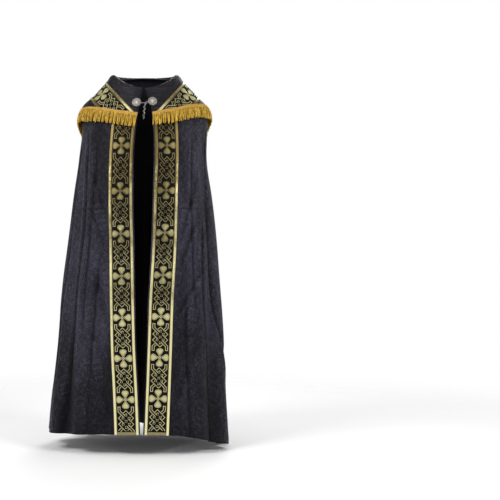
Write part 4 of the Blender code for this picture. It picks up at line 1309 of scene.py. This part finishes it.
def twisted_cord(shape, path, out, radius, pitch, closed=True, strands=2, sides=8):
    """A cord of strands laid round each other along a path."""
    ahead = np.roll(path, -1, axis=0) - np.roll(path, 1, axis=0)
    if not closed:
        ahead[0], ahead[-1] = path[1] - path[0], path[-1] - path[-2]
    ahead = unit(ahead)
    side = unit(np.cross(ahead, out))
    up = np.cross(side, ahead)
    run = lengths(path)
    total = run[-1] + (np.linalg.norm(path[0] - path[-1]) if closed else 0)
    turn = 2 * math.pi * np.arange(sides) / sides
    phase = 2 * math.pi * max(1, round(total / pitch)) * run / total
    reach = radius * (0.86 + 0.14 * np.cos(strands * (turn - phase[:, None])))
    verts = path[:, None] + side[:, None] * (reach * np.cos(turn))[..., None]
    verts = verts + up[:, None] * (reach * np.sin(turn))[..., None]
    faces = []
    n = len(path)
    for k in range(n if closed else n - 1):
        m = (k + 1) % n
        for s in range(sides):
            e = (s + 1) % sides
            faces.append((k * sides + s, m * sides + s, m * sides + e, k * sides + e))
    if not closed:
        faces.append(tuple(range(sides)))
        faces.append(tuple(range(n * sides - 1, (n - 1) * sides - 1, -1)))
    shape.add(verts, faces, np.stack(np.broadcast_arrays(radius * turn, run[:, None]), axis=-1))


def leaf_drawing(foot, tip, width, bend):
    """A pointed leaf from foot to tip, with a raised middle."""
    foot, tip = np.asarray(foot, float), np.asarray(tip, float)
    way = tip - foot
    side = np.array([-way[1], way[0]]) / np.linalg.norm(way)
    rows = []
    for f in np.linspace(0, 1, 9):
        place = foot + way * f + side * bend * math.sin(math.pi * f)
        half = width / 2 * (math.sin(math.pi * f**0.8) ** 0.9) + 0.0003
        for e in (-1, -0.5, 0, 0.5, 1):
            rows.append((*(place + side * half * e), FIGURE_HEIGHT * (1.25 if e == 0 else 0.35)))
    upper = np.array(rows) * (ORNAMENT_WIDER, ORNAMENT_TALLER, 1.0)
    lower = np.column_stack([upper[:, :2], np.full(len(upper), -SUNK)])
    return np.concatenate([upper, lower]), shell_faces(9, 5)


def quatrefoil(reach, lobe):
    """An outline of four round lobes with small points between them."""
    loop = []
    for middle in np.arange(4) * math.pi / 2:
        cx, cy = reach * math.cos(middle), reach * math.sin(middle)
        for a in np.linspace(-2.05, 2.05, 17):
            loop.append((cx + lobe * math.cos(middle + a), cy + lobe * math.sin(middle + a)))
    return loop


class Ornament:
    """Woven lines and leaves on the medallion, in one thread."""

    def __init__(self, back):
        self.back, self.shape = back, Shape()

    def line(self, points, width, closed=False, height=FIGURE_HEIGHT):
        points = [(x * ORNAMENT_WIDER, y * ORNAMENT_TALLER) for x, y in points]
        drawing = ribbon(points, width * 1.15, height, closed=closed)
        lay(self.shape, self.back, drawing, -MEDALLION_Z, ORNAMENT_LIFT)

    def leaf(self, foot, tip, width, bend=0.0):
        drawing = leaf_drawing(foot, tip, width, bend)
        lay(self.shape, self.back, drawing, -MEDALLION_Z, ORNAMENT_LIFT)


def medallion_gold(back):
    """The quatrefoil, leaves at its corners, and a spray with scrolls above and below."""
    gold = Ornament(back)
    gold.line(quatrefoil(0.0245, 0.0215), 0.0046, closed=True, height=FIGURE_HEIGHT + 0.0003)
    gold.line(quatrefoil(0.0238, 0.0158), 0.0014, closed=True)
    for a in math.pi / 4 + np.arange(4) * math.pi / 2:
        c, s = math.cos(a), math.sin(a)
        gold.leaf((0.0265 * c, 0.0265 * s), (0.0475 * c, 0.0475 * s * 1.06), 0.0105)
        for way in (-1, 1):
            b = a + way * 0.30
            tip = b + way * 0.14
            foot = (0.030 * math.cos(b), 0.030 * math.sin(b))
            gold.leaf(foot, (0.046 * math.cos(tip), 0.046 * math.sin(tip)), 0.0058, way * 0.002)
    for way in (-1, 1):
        gold.leaf((0.0, way * 0.0500), (0.0, way * 0.0800), 0.0125)
        for side in (-1, 1):
            foot, tip = (side * 0.0030, way * 0.0515), (side * 0.0185, way * 0.0690)
            gold.leaf(foot, tip, 0.0085, side * way * -0.004)
            curl = [
                (side * (0.0150 + 0.0052 * math.cos(a)), way * (0.0545 + 0.0052 * math.sin(a)))
                for a in np.linspace(2.6, 7.6, 15)
            ]
            gold.line(curl, 0.0021)
        gold.line(circle(0.0, way * 0.0860, 0.0026, 12), 0.0018, closed=True)
        for side in (-1, 1):
            gold.line(circle(side * 0.0525, way * 0.0125, 0.0024, 12), 0.0016, closed=True)
    return gold.shape


def medallion_silver(back):
    """A small cross with a trefoil at each end."""
    silver = Ornament(back)
    for k in range(4):
        c, s = math.cos(k * math.pi / 2), math.sin(k * math.pi / 2)
        arm = [(x * c, x * s) for x in (0.0, 0.006, 0.012, 0.0235)]
        silver.line(arm, 0.0034, height=FIGURE_HEIGHT + 0.0006 + 0.0001 * (k % 2))
        for x, y in ((0.0300, 0.0), (0.0262, 0.0037), (0.0262, -0.0037)):
            lobe = circle(x * c - y * s, x * s + y * c, 0.0014, 10)
            silver.line(lobe, 0.0027, closed=True, height=FIGURE_HEIGHT + 0.0007)
    for y in (0.0045, -0.0045):
        silver.leaf((-0.0045, -y), (0.0045, y), 0.0062)
    return silver.shape


def build_medallion(back, finishes):
    """The pointed oval over the joint of the Y: a gold quatrefoil and leaves round a small silver cross."""
    patch_cloth, figures_gold, cord_gold, silver_thread = finishes
    z = (MEDALLION_Z + MEDALLION_HALF_HEIGHT * np.sin(np.linspace(-math.pi / 2, math.pi / 2, 61)))[::-1]
    z[0] -= 0.0006
    z[-1] += 0.0006
    across = medallion_half_width(z)[:, None] * np.linspace(-1, 1, 25)[None, :]
    along = np.broadcast_to(-z[:, None], across.shape)
    upper, _ = back.at(along, across, np.full(across.shape, ORNAMENT_LIFT))
    lower, _ = back.at(along, across, np.full(across.shape, MEDALLION_LIFT))
    patch = Shape()
    closed_sheet(patch, upper, lower, np.stack([across, along], axis=-1))
    base = patch.piece("medallion_ground", [patch_cloth], 60.0)
    belongs(base, "black_galloon", "cape_medallion")

    radius = MEDALLION_RADIUS - 0.0021
    swing = math.asin((MEDALLION_HALF_HEIGHT - 0.002) / MEDALLION_RADIUS)
    arc = [
        (radius * math.cos(a) - (MEDALLION_RADIUS - MEDALLION_HALF_WIDTH), radius * math.sin(a))
        for a in np.linspace(-swing, swing, 111)
    ]
    loop = np.array(stepped(arc + [(-x, -y) for x, y in arc], 0.0022))
    points, outs = back.at(-(MEDALLION_Z + loop[:, 1]), loop[:, 0], ORNAMENT_LIFT + 0.0018)
    cord = Shape()
    twisted_cord(cord, points, outs, 0.0022, 0.0075)
    border = cord.piece("medallion_border", [cord_gold], 70.0)
    belongs(border, "gold_braid", "medallion_cord")

    ornament = medallion_gold(back).piece("medallion_ornament", [figures_gold], 35.0)
    crosslet = medallion_silver(back).piece("medallion_crosslet", [silver_thread], 35.0)
    belongs(ornament, "gold_braid")
    belongs(crosslet, "antique_silver")
    return base, [border, ornament, crosslet]


def strand_pattern(sides, segments, twist):
    """One twisted strand, 1 long and 1 in radius, grown from a small ring by extrusion."""
    bpy.ops.mesh.primitive_circle_add(vertices=sides, radius=1.0, fill_type="NGON", location=(0, 0, 0))
    piece = active()
    bpy.ops.object.mode_set(mode="EDIT")
    bpy.ops.mesh.select_all(action="SELECT")
    for _ in range(segments):
        bpy.ops.mesh.extrude_region_move(TRANSFORM_OT_translate={"value": (0, 0, 1.0 / segments)})
        bpy.ops.transform.rotate(value=twist, orient_axis="Z", center_override=(0, 0, 0))
    bpy.ops.mesh.select_all(action="SELECT")
    bpy.ops.mesh.normals_make_consistent(inside=False)
    bpy.ops.object.mode_set(mode="OBJECT")
    verts = np.array([v.co for v in piece.data.vertices])
    faces = [tuple(f.vertices) for f in piece.data.polygons]
    bpy.data.objects.remove(piece)
    return verts, faces


def bent_strand(shape, pattern, path, out, radius, taper):
    """A copy of the strand, bent along a path from its top to its tip."""
    verts, faces = pattern
    path = np.asarray(path)
    run = lengths(path)
    share = verts[:, 2] * run[-1]
    place, way = (
        np.stack([np.interp(share, run, line[:, k]) for k in range(3)], axis=1)
        for line in (path, np.gradient(path, axis=0))
    )
    way = unit(way)
    side = unit(np.cross(way, out))
    up = np.cross(side, way)
    thick = radius * (1 + (taper - 1) * verts[:, 2])
    points = place + side * (verts[:, 0] * thick)[:, None] + up * (verts[:, 1] * thick)[:, None]
    flat = np.column_stack([verts[:, 0] * radius + rng.random(), share + rng.random() * 0.01])
    shape.add(points, faces, flat)


def fringe_heading(cape, fine, edge_z, edge_down, slope, run):
    """The woven strip that the strands hang from: a ridge along each side and a low swell between them."""
    place = np.interp(np.linspace(0, len(fine) - 1, 620), np.arange(len(fine)), fine)
    low = np.interp(place, fine, edge_down)
    top = np.interp(place, fine, down_to(cape, fine, edge_z + HEADER * slope))
    length = np.interp(place, fine, run)
    share = np.array([0.0, 0.04, 0.13, 0.20, 0.40, 0.60, 0.80, 0.87, 0.96, 1.0])
    bulge = np.array([0.0, 0.0009, 0.0010, 0.0004, 0.0006, 0.0006, 0.0004, 0.0010, 0.0009, 0.0])
    down = top[None, :] + (low - top)[None, :] * share[:, None]
    around = np.broadcast_to(place, down.shape)
    upper, _ = cape.at(down, around, HEADER_GAP + HEADER_THICK * 0.6 + bulge[:, None] + 0 * down)
    lower, _ = cape.at(down, around, HEADER_GAP - HEADER_SUNK + 0 * down)
    flat = np.stack(np.broadcast_arrays(length[None, :], (share * HEADER)[:, None]), axis=-1)
    heading = Shape()
    closed_sheet(heading, upper, lower, flat)
    return heading


def fringe_strands(cape, fine, edge_z, run):
    """Two rows of twisted strands, in locks that lean together."""
    strands = Shape()
    pattern = strand_pattern(4, 10, math.radians(58))
    down_strand = np.linspace(0, 1, STRAND_POINTS)
    hanging = np.array([0.0, 0.16, 0.34, 0.52, 0.70, 0.86, 1.0])
    swell = np.array([0.0, 0.4, 0.8, 0.9, 0.7, 0.4, 0.2]) * 0.0012
    for pitch, lift, drop in ((0.0048, 0.0012, 0.0), (0.0052, 0.0036, 0.0012)):
        count = int(run[-1] / pitch)
        for k in range(count):
            where = run[-1] * (k + 0.5 + rng.uniform(-0.22, 0.22)) / count
            start = float(np.interp(where, run, fine))
            z = float(np.interp(start, fine, edge_z)) + 0.0035 + drop * 0.5
            hang = 0.0475 + 0.0022 * math.sin(where * 41.0) + rng.uniform(-0.0035, 0.0030)
            lock = LOCK * (math.floor(where / LOCK + 0.3 * math.sin(where * 9.0)) + 0.5)
            drift = rng.uniform(-0.0012, 0.0012) + max(-0.005, min(0.005, 0.42 * (lock - where)))
            heights = z - hang * hanging
            first, last = down_to(cape, [start, start], heights[[0, -1]])
            downs = np.interp(heights, heights[[-1, 0]], [last, first])
            away = lift + rng.uniform(0.0, 0.0014) * np.sin(down_strand * 2.4) + swell
            line, outs = cape.at(downs, np.full(STRAND_POINTS, start), away)
            beside = cape.at([0.1, 0.1], [start - 0.01, start + 0.01])[0]
            level = (beside[1] - beside[0]) * (1.0, 1.0, 0.0)
            line += np.outer(drift * down_strand**1.3, level / np.linalg.norm(level))
            bent_strand(strands, pattern, line, outs[3], rng.uniform(0.00150, 0.00195), 0.92)
    return strands


def build_fringe(cape, heading_finish, thread):
    """The fringe: its woven heading, and two rows of twisted strands that hang from it."""
    fine = np.linspace(-1 - BAND_END + 0.001, 1 + BAND_END - 0.001, 1100)
    edge_z = by_side(CAPE_EDGE, fine)
    edge_down = down_to(cape, fine, edge_z)
    edge, _ = cape.at(edge_down, fine)
    step = np.diff(edge, axis=0)
    slope = np.linalg.norm(step, axis=1) / np.linalg.norm(step[:, :2], axis=1)
    slope = np.concatenate([slope[:1], (slope[1:] + slope[:-1]) / 2, slope[-1:]])
    run = lengths(edge)
    heading = fringe_heading(cape, fine, edge_z, edge_down, slope, run)
    head = heading.piece("fringe_heading", [heading_finish], 50.0)
    belongs(head, "fringe_gold", "cape_fringe")
    hung = fringe_strands(cape, fine, edge_z, run).piece("fringe_strands", [thread], 25.0)
    return [head, belongs(hung, "fringe_gold")]


def build_tassel(cape, thread):
    """The tassel at the cape's point: loop, bound head, neck and skirt of strands."""
    top_z, end_z = -0.507, -0.613
    face = cape.at(down_to(cape, [0.0], [top_z]), [0.0])[0][0, 1]
    top_y = face - 0.0054

    def middle(z):
        return Vector((0.0, top_y + 0.13 * max(0.0, top_z - z), z))

    profile = [
        (-0.4965, 0.0012), (-0.503, 0.0012), (-0.5055, 0.0030), (-0.5085, 0.0052), (-0.5125, 0.0063),
        (-0.5170, 0.0061), (-0.5215, 0.0050), (-0.5250, 0.0042), (-0.5262, 0.0050), (-0.5285, 0.0052),
        (-0.5308, 0.0050), (-0.5320, 0.0043), (-0.5350, 0.0052), (-0.5400, 0.0062),
    ]
    z, radius = profile[0]
    bpy.ops.mesh.primitive_circle_add(vertices=28, radius=radius, fill_type="NGON", location=middle(z))
    head = active()
    bpy.ops.object.mode_set(mode="EDIT")
    bpy.ops.mesh.select_all(action="SELECT")
    for (z0, r0), (z1, r1) in zip(profile, profile[1:]):
        move = middle(z1) - middle(z0)
        bpy.ops.mesh.extrude_region_move(TRANSFORM_OT_translate={"value": move})
        bpy.ops.transform.resize(value=(r1 / r0, r1 / r0, 1.0), center_override=middle(z1))
    bpy.ops.mesh.select_all(action="SELECT")
    bpy.ops.mesh.normals_make_consistent(inside=False)
    bpy.ops.object.mode_set(mode="OBJECT")
    cut = head.data.uv_layers.new(name="cut")
    for loop in head.data.loops:
        co = head.data.vertices[loop.vertex_index].co
        cut.data[loop.index].uv = (math.atan2(co.y, co.x) * 0.006, co.z)
    piece = belongs(joined_piece("tassel_head", [head], [thread]), "tassel_gold", "cape_tassel")

    skirt = Shape()
    pattern = strand_pattern(4, 7, math.radians(40))
    for layer, (count, reach) in enumerate(((34, 1.0), (26, 0.72), (16, 0.40))):
        for k in range(count):
            a = 2 * math.pi * (k + 0.5 * layer + rng.uniform(-0.2, 0.2)) / count
            foot = middle(-0.5345 - 0.001 * layer)
            spread = 0.0140 * reach * rng.uniform(0.93, 1.05)
            end = end_z + rng.uniform(-0.0035, 0.0035)
            path = []
            for f in np.linspace(0, 1, STRAND_POINTS):
                z = foot.z + (end - foot.z) * f
                r = 0.0045 * reach + (spread - 0.0045 * reach) * f**0.75
                m = middle(z)
                path.append((r * math.cos(a) + 0.0005 * math.sin(9 * f + k), m.y + 0.48 * r * math.sin(a), z))
            bent_strand(skirt, pattern, path, (math.cos(a), math.sin(a), 0.02), 0.00125, 0.9)
    hung = belongs(skirt.piece("tassel_skirt", [thread], 25.0), "tassel_gold")
    return [piece, hung]


def ring_of(part, count, reach, height, turned=True, stretch=(1.0, 1.0)):
    """Copies of a modelled part round a circle, in place of the part itself."""
    copies = []
    for k in range(count):
        a = 2 * math.pi * k / count
        seat = Matrix.Translation((reach * math.cos(a), reach * math.sin(a), height))
        turn = Matrix.Rotation(a if turned else 0.0, 4, "Z")
        copies.append(copied(part, seat @ turn @ Matrix.Diagonal((*stretch, 1.0, 1.0))))
    bpy.data.objects.remove(part)
    return copies


def clasp_disc(place, out):
    """A cast openwork disc: stepped dish, beaded rim, two rings of petals and a domed boss."""
    bpy.ops.object.select_all(action="DESELECT")
    bpy.ops.mesh.primitive_cylinder_add(
        vertices=48, radius=DISC_RADIUS, depth=DISC_DEPTH, location=(0, 0, DISC_DEPTH / 2)
    )
    dish = active()
    bpy.ops.object.mode_set(mode="EDIT")
    bm = bmesh.from_edit_mesh(dish.data)
    for face in bm.faces:
        face.select_set(face.normal.z > 0.9)
    bmesh.update_edit_mesh(dish.data)
    for thickness, depth in DISH_STEPS:
        bpy.ops.mesh.inset(thickness=thickness, depth=depth)
    bpy.ops.object.mode_set(mode="OBJECT")
    edge = dish.modifiers.new("edge", "BEVEL")
    edge.width = 0.0002
    edge.segments = 2
    edge.limit_method = "ANGLE"
    bpy.ops.object.modifier_apply(modifier=edge.name)
    bpy.ops.object.select_all(action="DESELECT")
    bpy.ops.mesh.primitive_ico_sphere_add(subdivisions=2, radius=0.00085, location=(0, 0, 0))
    beads = ring_of(active(), 32, 0.01655, 0.0021, turned=False)
    bpy.ops.object.select_all(action="DESELECT")
    bpy.ops.mesh.primitive_torus_add(
        major_radius=0.0021, minor_radius=0.00042, major_segments=16, minor_segments=6, location=(0, 0, 0)
    )
    scrolls = ring_of(active(), 12, 0.0119, 0.0022, stretch=(1.15, 0.95))
    bpy.ops.object.select_all(action="DESELECT")
    bpy.ops.mesh.primitive_uv_sphere_add(segments=12, ring_count=8, radius=0.0018, location=(0, 0, 0))
    resized((1.5, 0.72, 0.45))
    petals = ring_of(active(), 8, 0.0062, 0.0026)
    bpy.ops.object.select_all(action="DESELECT")
    centre = (0, 0, BOSS_HEIGHT)
    bpy.ops.mesh.primitive_uv_sphere_add(segments=20, ring_count=12, radius=0.0031, location=centre)
    resized((1.0, 1.0, 0.55), centre)
    parts = [dish, *beads, *scrolls, *petals, active()]
    turn = Matrix.Translation(place) @ out.to_track_quat("Z", "Y").to_matrix().to_4x4()
    for part in parts:
        part.data.transform(turn @ Matrix.Translation(part.location))
        part.location = (0, 0, 0)
    return parts


def wire(name, points, radius, finish, closed=False):
    """A drawn wire along points, round in section."""
    data = bpy.data.curves.new(name, "CURVE")
    data.dimensions = "3D"
    data.bevel_depth = radius
    data.bevel_resolution = 3
    data.use_fill_caps = True
    spline = data.splines.new("NURBS")
    spline.points.add(len(points) - 1)
    for place, point in zip(spline.points, points):
        place.co = (*point, 1.0)
    spline.use_cyclic_u = closed
    spline.use_endpoint_u = not closed
    spline.order_u = 3
    spline.resolution_u = 6
    made = bpy.data.objects.new(name, data)
    bpy.context.scene.collection.objects.link(made)
    bpy.ops.object.select_all(action="DESELECT")
    made.select_set(True)
    bpy.context.view_layer.objects.active = made
    bpy.ops.object.convert(target="MESH")
    made = active()
    made.data.materials.clear()
    made.data.materials.append(finish)
    soften(made, 40.0)
    return made


def disc_seat(name):
    """Where a disc's flat back lies on the cape, and which way the disc faces."""
    low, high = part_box(name)
    middle = (low + high) / 2
    spread = np.array([v.co for v in frame["nodes"][name].data.vertices])
    _, _, axes = np.linalg.svd(spread - spread.mean(axis=0))
    out = Vector(axes[2])
    if out.y > 0:
        out = -out
    return middle + out * min((Vector(p) - middle).dot(out) for p in spread), out


def build_hook_and_eye(left, right, joint, darker):
    """The hook on the left disc, and the eye on the right disc that it goes through."""
    low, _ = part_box("clasp_hook")
    start = Vector((low.x - 0.0012, joint.y + 0.0012, left.z - 0.0016))
    bends = (
        (-0.0050, 0.0012), (-0.0010, 0.0018), (0.0034, 0.0014), (0.0056, -0.0008),
        (0.0050, -0.0040), (0.0018, -0.0054), (-0.0010, -0.0042),
    )
    course = [start, start + Vector((0.004, -0.0014, 0.0))] + [joint + Vector((x, 0, z)) for x, z in bends]
    hook = belongs(wire("hook_wire", course, 0.00095, darker), "antique_silver", "clasp_hook")
    low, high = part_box("clasp_eye")
    near = Vector((low.x + 0.0006, joint.y, joint.z - 0.0012))
    far = Vector((high.x, right.y - 0.0012, right.z - 0.0020))
    loop = []
    for turn in np.arange(16) * 2 * math.pi / 16:
        share = 0.5 - 0.5 * math.cos(turn)
        loop.append(near + (far - near) * share + Vector((0, 0.0005, 0.0034 * math.sin(turn))))
    eye = belongs(wire("eye_wire", loop, 0.0008, darker, closed=True), "antique_silver", "clasp_eye")
    return [hook, eye]


def build_chain(joint, darker):
    """The chain's loose end, which hangs from the hook in a slight zigzag."""
    bpy.ops.object.select_all(action="DESELECT")
    bpy.ops.mesh.primitive_torus_add(
        major_radius=0.0027, minor_radius=0.00055, major_segments=18, minor_segments=8, location=(0, 0, 0)
    )
    link = active()
    resized((1.0, 1.85, 1.0))
    low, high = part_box("clasp_chain_end")
    top = Vector((joint.x + 0.0012, joint.y, joint.z - 0.0052))
    end = Vector((joint.x - 0.0042, (low.y + high.y) / 2, low.z + 0.002))
    parts = []
    for k in range(CHAIN_LINKS):
        f = (k + 0.5) / CHAIN_LINKS
        aside = 1 - 2 * (k % 2)
        place = top.lerp(end, f) + Vector((0.0008 * math.sin(3.0 * f), 0, 0)) + Vector((0.0013 * aside, 0, 0))
        turned = Matrix.Translation(place) @ Matrix.Rotation(math.radians(24 * aside), 4, "Y")
        turned = turned @ (end - top).to_track_quat("Y", "Z").to_matrix().to_4x4()
        turned = turned @ Matrix.Rotation(math.radians(15 + 60 * (k % 2)), 4, "Y")
        parts.append(copied(link, turned))
    bpy.data.objects.remove(link)
    return belongs(joined_piece("chain_links", parts, [darker]), "antique_silver", "clasp_chain_end")


def build_clasp(silver, tarnished, darker):
    """The clasp: two discs sewn to the cape, the hook and eye between them and the chain's loose end."""
    discs, places = [], []
    for name in ("left", "right"):
        place, out = disc_seat(f"clasp_disc_{name}")
        piece = joined_piece(f"clasp_rosette_{name}", clasp_disc(place, out), [silver, tarnished], 35.0)
        discs.append(belongs(piece, "antique_silver", f"clasp_disc_{name}"))
        places.append(place)
    low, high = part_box("clasp_hook")
    joint = Vector((HOOK_MEETS_EYE[0], (low.y + high.y) / 2, HOOK_MEETS_EYE[1]))
    return [*discs, *build_hook_and_eye(*places, joint, darker), build_chain(joint, darker)]


def build_neck_binding(cape, galloon):
    """The narrow binding that finishes the neck edge of the cloak and the cape together."""
    around = np.linspace(-1 - BAND_END + 0.002, 1 + BAND_END - 0.002, 200)
    points, outs = cape.at(0.001, around, -0.0014)
    shape = Shape()
    twisted_cord(shape, points + np.array([0, 0, 0.0004]), outs, 0.0030, 0.5, closed=False, strands=1)
    return belongs(shape.piece("neck_binding", [galloon], 60.0), "black_brocade")


def build_stage():
    """A pale floor, soft light and the camera at the photograph's place."""
    below = (0, 0, cad_low.z - 0.012)
    bpy.ops.mesh.primitive_circle_add(vertices=64, radius=3.2, fill_type="NGON", location=below)
    floor = active()
    floor.name = floor.data.name = "studio_floor"
    finish = Finish("studio_paper", Roughness=0.9)
    soft = finish.noise(finish.place(), 3.0, 2.0)
    away = finish.node("ShaderNodeVectorMath", {"operation": "LENGTH"}, 1, finish.place())
    tone = finish.mixed(soft, (0.90, 0.90, 0.90), (0.93, 0.93, 0.93))
    floor.data.materials.append(finish.wear(Base_Color=tone, Alpha=away.below(1.9, 1.1)))
    floor.select_set(False)

    world = bpy.data.worlds.new("studio")
    bpy.context.scene.world = world
    world.use_nodes = True
    tree = world.node_tree
    background = tree.nodes["Background"]
    direction = tree.nodes.new("ShaderNodeSeparateXYZ")
    tree.links.new(tree.nodes.new("ShaderNodeTexCoord").outputs["Generated"], direction.inputs[0])
    parts = []
    for axis, stops in (("Z", (0.26, 0.55, 1.0, 0.22)), ("Y", (-0.30, 0.45, 0.50, 1.0))):
        fade = tree.nodes.new("ShaderNodeMapRange")
        fade.interpolation_type = "SMOOTHSTEP"
        for socket, value in zip(fade.inputs[1:5], stops):
            socket.default_value = value
        tree.links.new(direction.outputs[axis], fade.inputs[0])
        parts.append(fade.outputs[0])
    both = tree.nodes.new("ShaderNodeMath")
    both.operation = "MULTIPLY"
    for socket, value in zip(both.inputs, parts):
        tree.links.new(value, socket)
    tree.links.new(both.outputs[0], background.inputs["Strength"])
    background.inputs["Color"].default_value = (1.0, 1.0, 1.0, 1.0)
    target = Vector((0.0, 0.0, -0.35))
    for name, place, size, power in (
        ("key", (-2.0, -2.0, 1.10), 1.4, 78.0),
        ("fill", (2.2, -2.0, 0.9), 1.5, 62.0),
        ("top", (0.0, -0.2, 2.3), 1.4, 22.0),
        ("back", (0.6, 2.6, 1.2), 1.7, 60.0),
    ):
        light = bpy.data.lights.new(name, "AREA")
        light.size = size
        light.energy = power
        lamp = bpy.data.objects.new(name, light)
        lamp.location = place
        lamp.rotation_mode = "QUATERNION"
        lamp.rotation_quaternion = (target - Vector(place)).to_track_quat("-Z", "Y")
        bpy.context.scene.collection.objects.link(lamp)

    camera = bpy.data.cameras.new("camera")
    camera.sensor_width = 36.0
    camera.lens = 36.0 * 4.5 / 2.05
    camera.shift_x = (PHOTO / 2 - PHOTO_MIDDLE_X) / PHOTO
    camera.shift_y = (PHOTO_EYE_Y - PHOTO / 2) / PHOTO
    camera.clip_end = 60.0
    eye = bpy.data.objects.new("camera", camera)
    eye.location = (0.0, -4.5, -0.74)
    eye.rotation_euler = (math.radians(90.0), 0.0, 0.0)
    bpy.context.scene.collection.objects.link(eye)
    bpy.context.scene.camera = eye
    bpy.context.scene.view_settings.view_transform = "Standard"


def main():
    # The third colour of each black is the painted shade in the folds.
    black = (0.0026, 0.0024, 0.0046), (0.0500, 0.0465, 0.0715), (0.0010, 0.0009, 0.0014)
    damask = damask_cloth("black_damask", *black, 3.1, 0.36)
    # A darker, smoother copy of the damask for the cape, darkened as painted shade against the light from
    # above.
    shaded_black = (0.0022, 0.0016, 0.0026), (0.0190, 0.0150, 0.0225), (0.0010, 0.0009, 0.0012)
    smooth_shaded_damask = damask_cloth("smooth_shaded_damask", *shaded_black, 1.5, 0.55)
    lining = lining_cloth()
    galloon = galloon_cloth("black_galloon", True)
    patch_cloth = galloon_cloth("medallion_satin", False)
    gold = (0.72, 0.67, 0.34), (0.165, 0.130, 0.034), (0.080, 0.056, 0.015), 3000.0, 0.45
    figures_gold = woven_gold("gold_figures", *gold)
    front_gold = woven_gold("front_gold_figures", *gold, paler=1.8)
    braid, front_braid = braid_gold("gold_braid"), braid_gold("front_gold_braid", 2.2)
    orange = (0.90, 0.68, 0.16), (0.60, 0.41, 0.06), (0.24, 0.14, 0.02)
    cord_gold = woven_gold("gold_cord", *orange, 2200.0, 0.45, 0.36)
    white = (0.86, 0.85, 0.88), (0.66, 0.66, 0.70), (0.35, 0.35, 0.38)
    silver_thread = woven_gold("silver_thread", *white, 2800.0, 0.5, 0.34)
    heading = heading_gold()
    fringe = fringe_thread("fringe_thread", (0.92, 0.62, 0.07), (0.35, 0.185, 0.006), (0.075, 0.031, 0.002))
    tassel = fringe_thread("tassel_thread", (0.92, 0.78, 0.22), (0.50, 0.35, 0.035), (0.16, 0.09, 0.008))
    silver = silver_metal("clasp_pewter", (0.98, 0.93, 0.85), (0.40, 0.365, 0.33), 0.26)
    tarnished = silver_metal("clasp_tarnish", (0.22, 0.20, 0.18), (0.050, 0.045, 0.042), 0.40)
    darker = silver_metal("chain_pewter", (0.62, 0.57, 0.58), (0.13, 0.115, 0.13), 0.30)

    cloak, cape = worn_charts()
    build_stage()
    cloak_cloth = build_cloak(cloak, damask, lining)
    front = build_front_bands(cloak, (galloon, front_gold, front_braid))
    cape_cloth = build_cape(cape, smooth_shaded_damask, lining)
    bands, back = build_back_bands(cape, (galloon, figures_gold, braid))
    patch, on_patch = build_medallion(back, (patch_cloth, figures_gold, cord_gold, silver_thread))
    fringe_pieces = build_fringe(cape, heading, fringe)
    tassel_pieces = build_tassel(cape, tassel)
    clasp = build_clasp(silver, tarnished, darker)
    binding = build_neck_binding(cape, lining)


main()
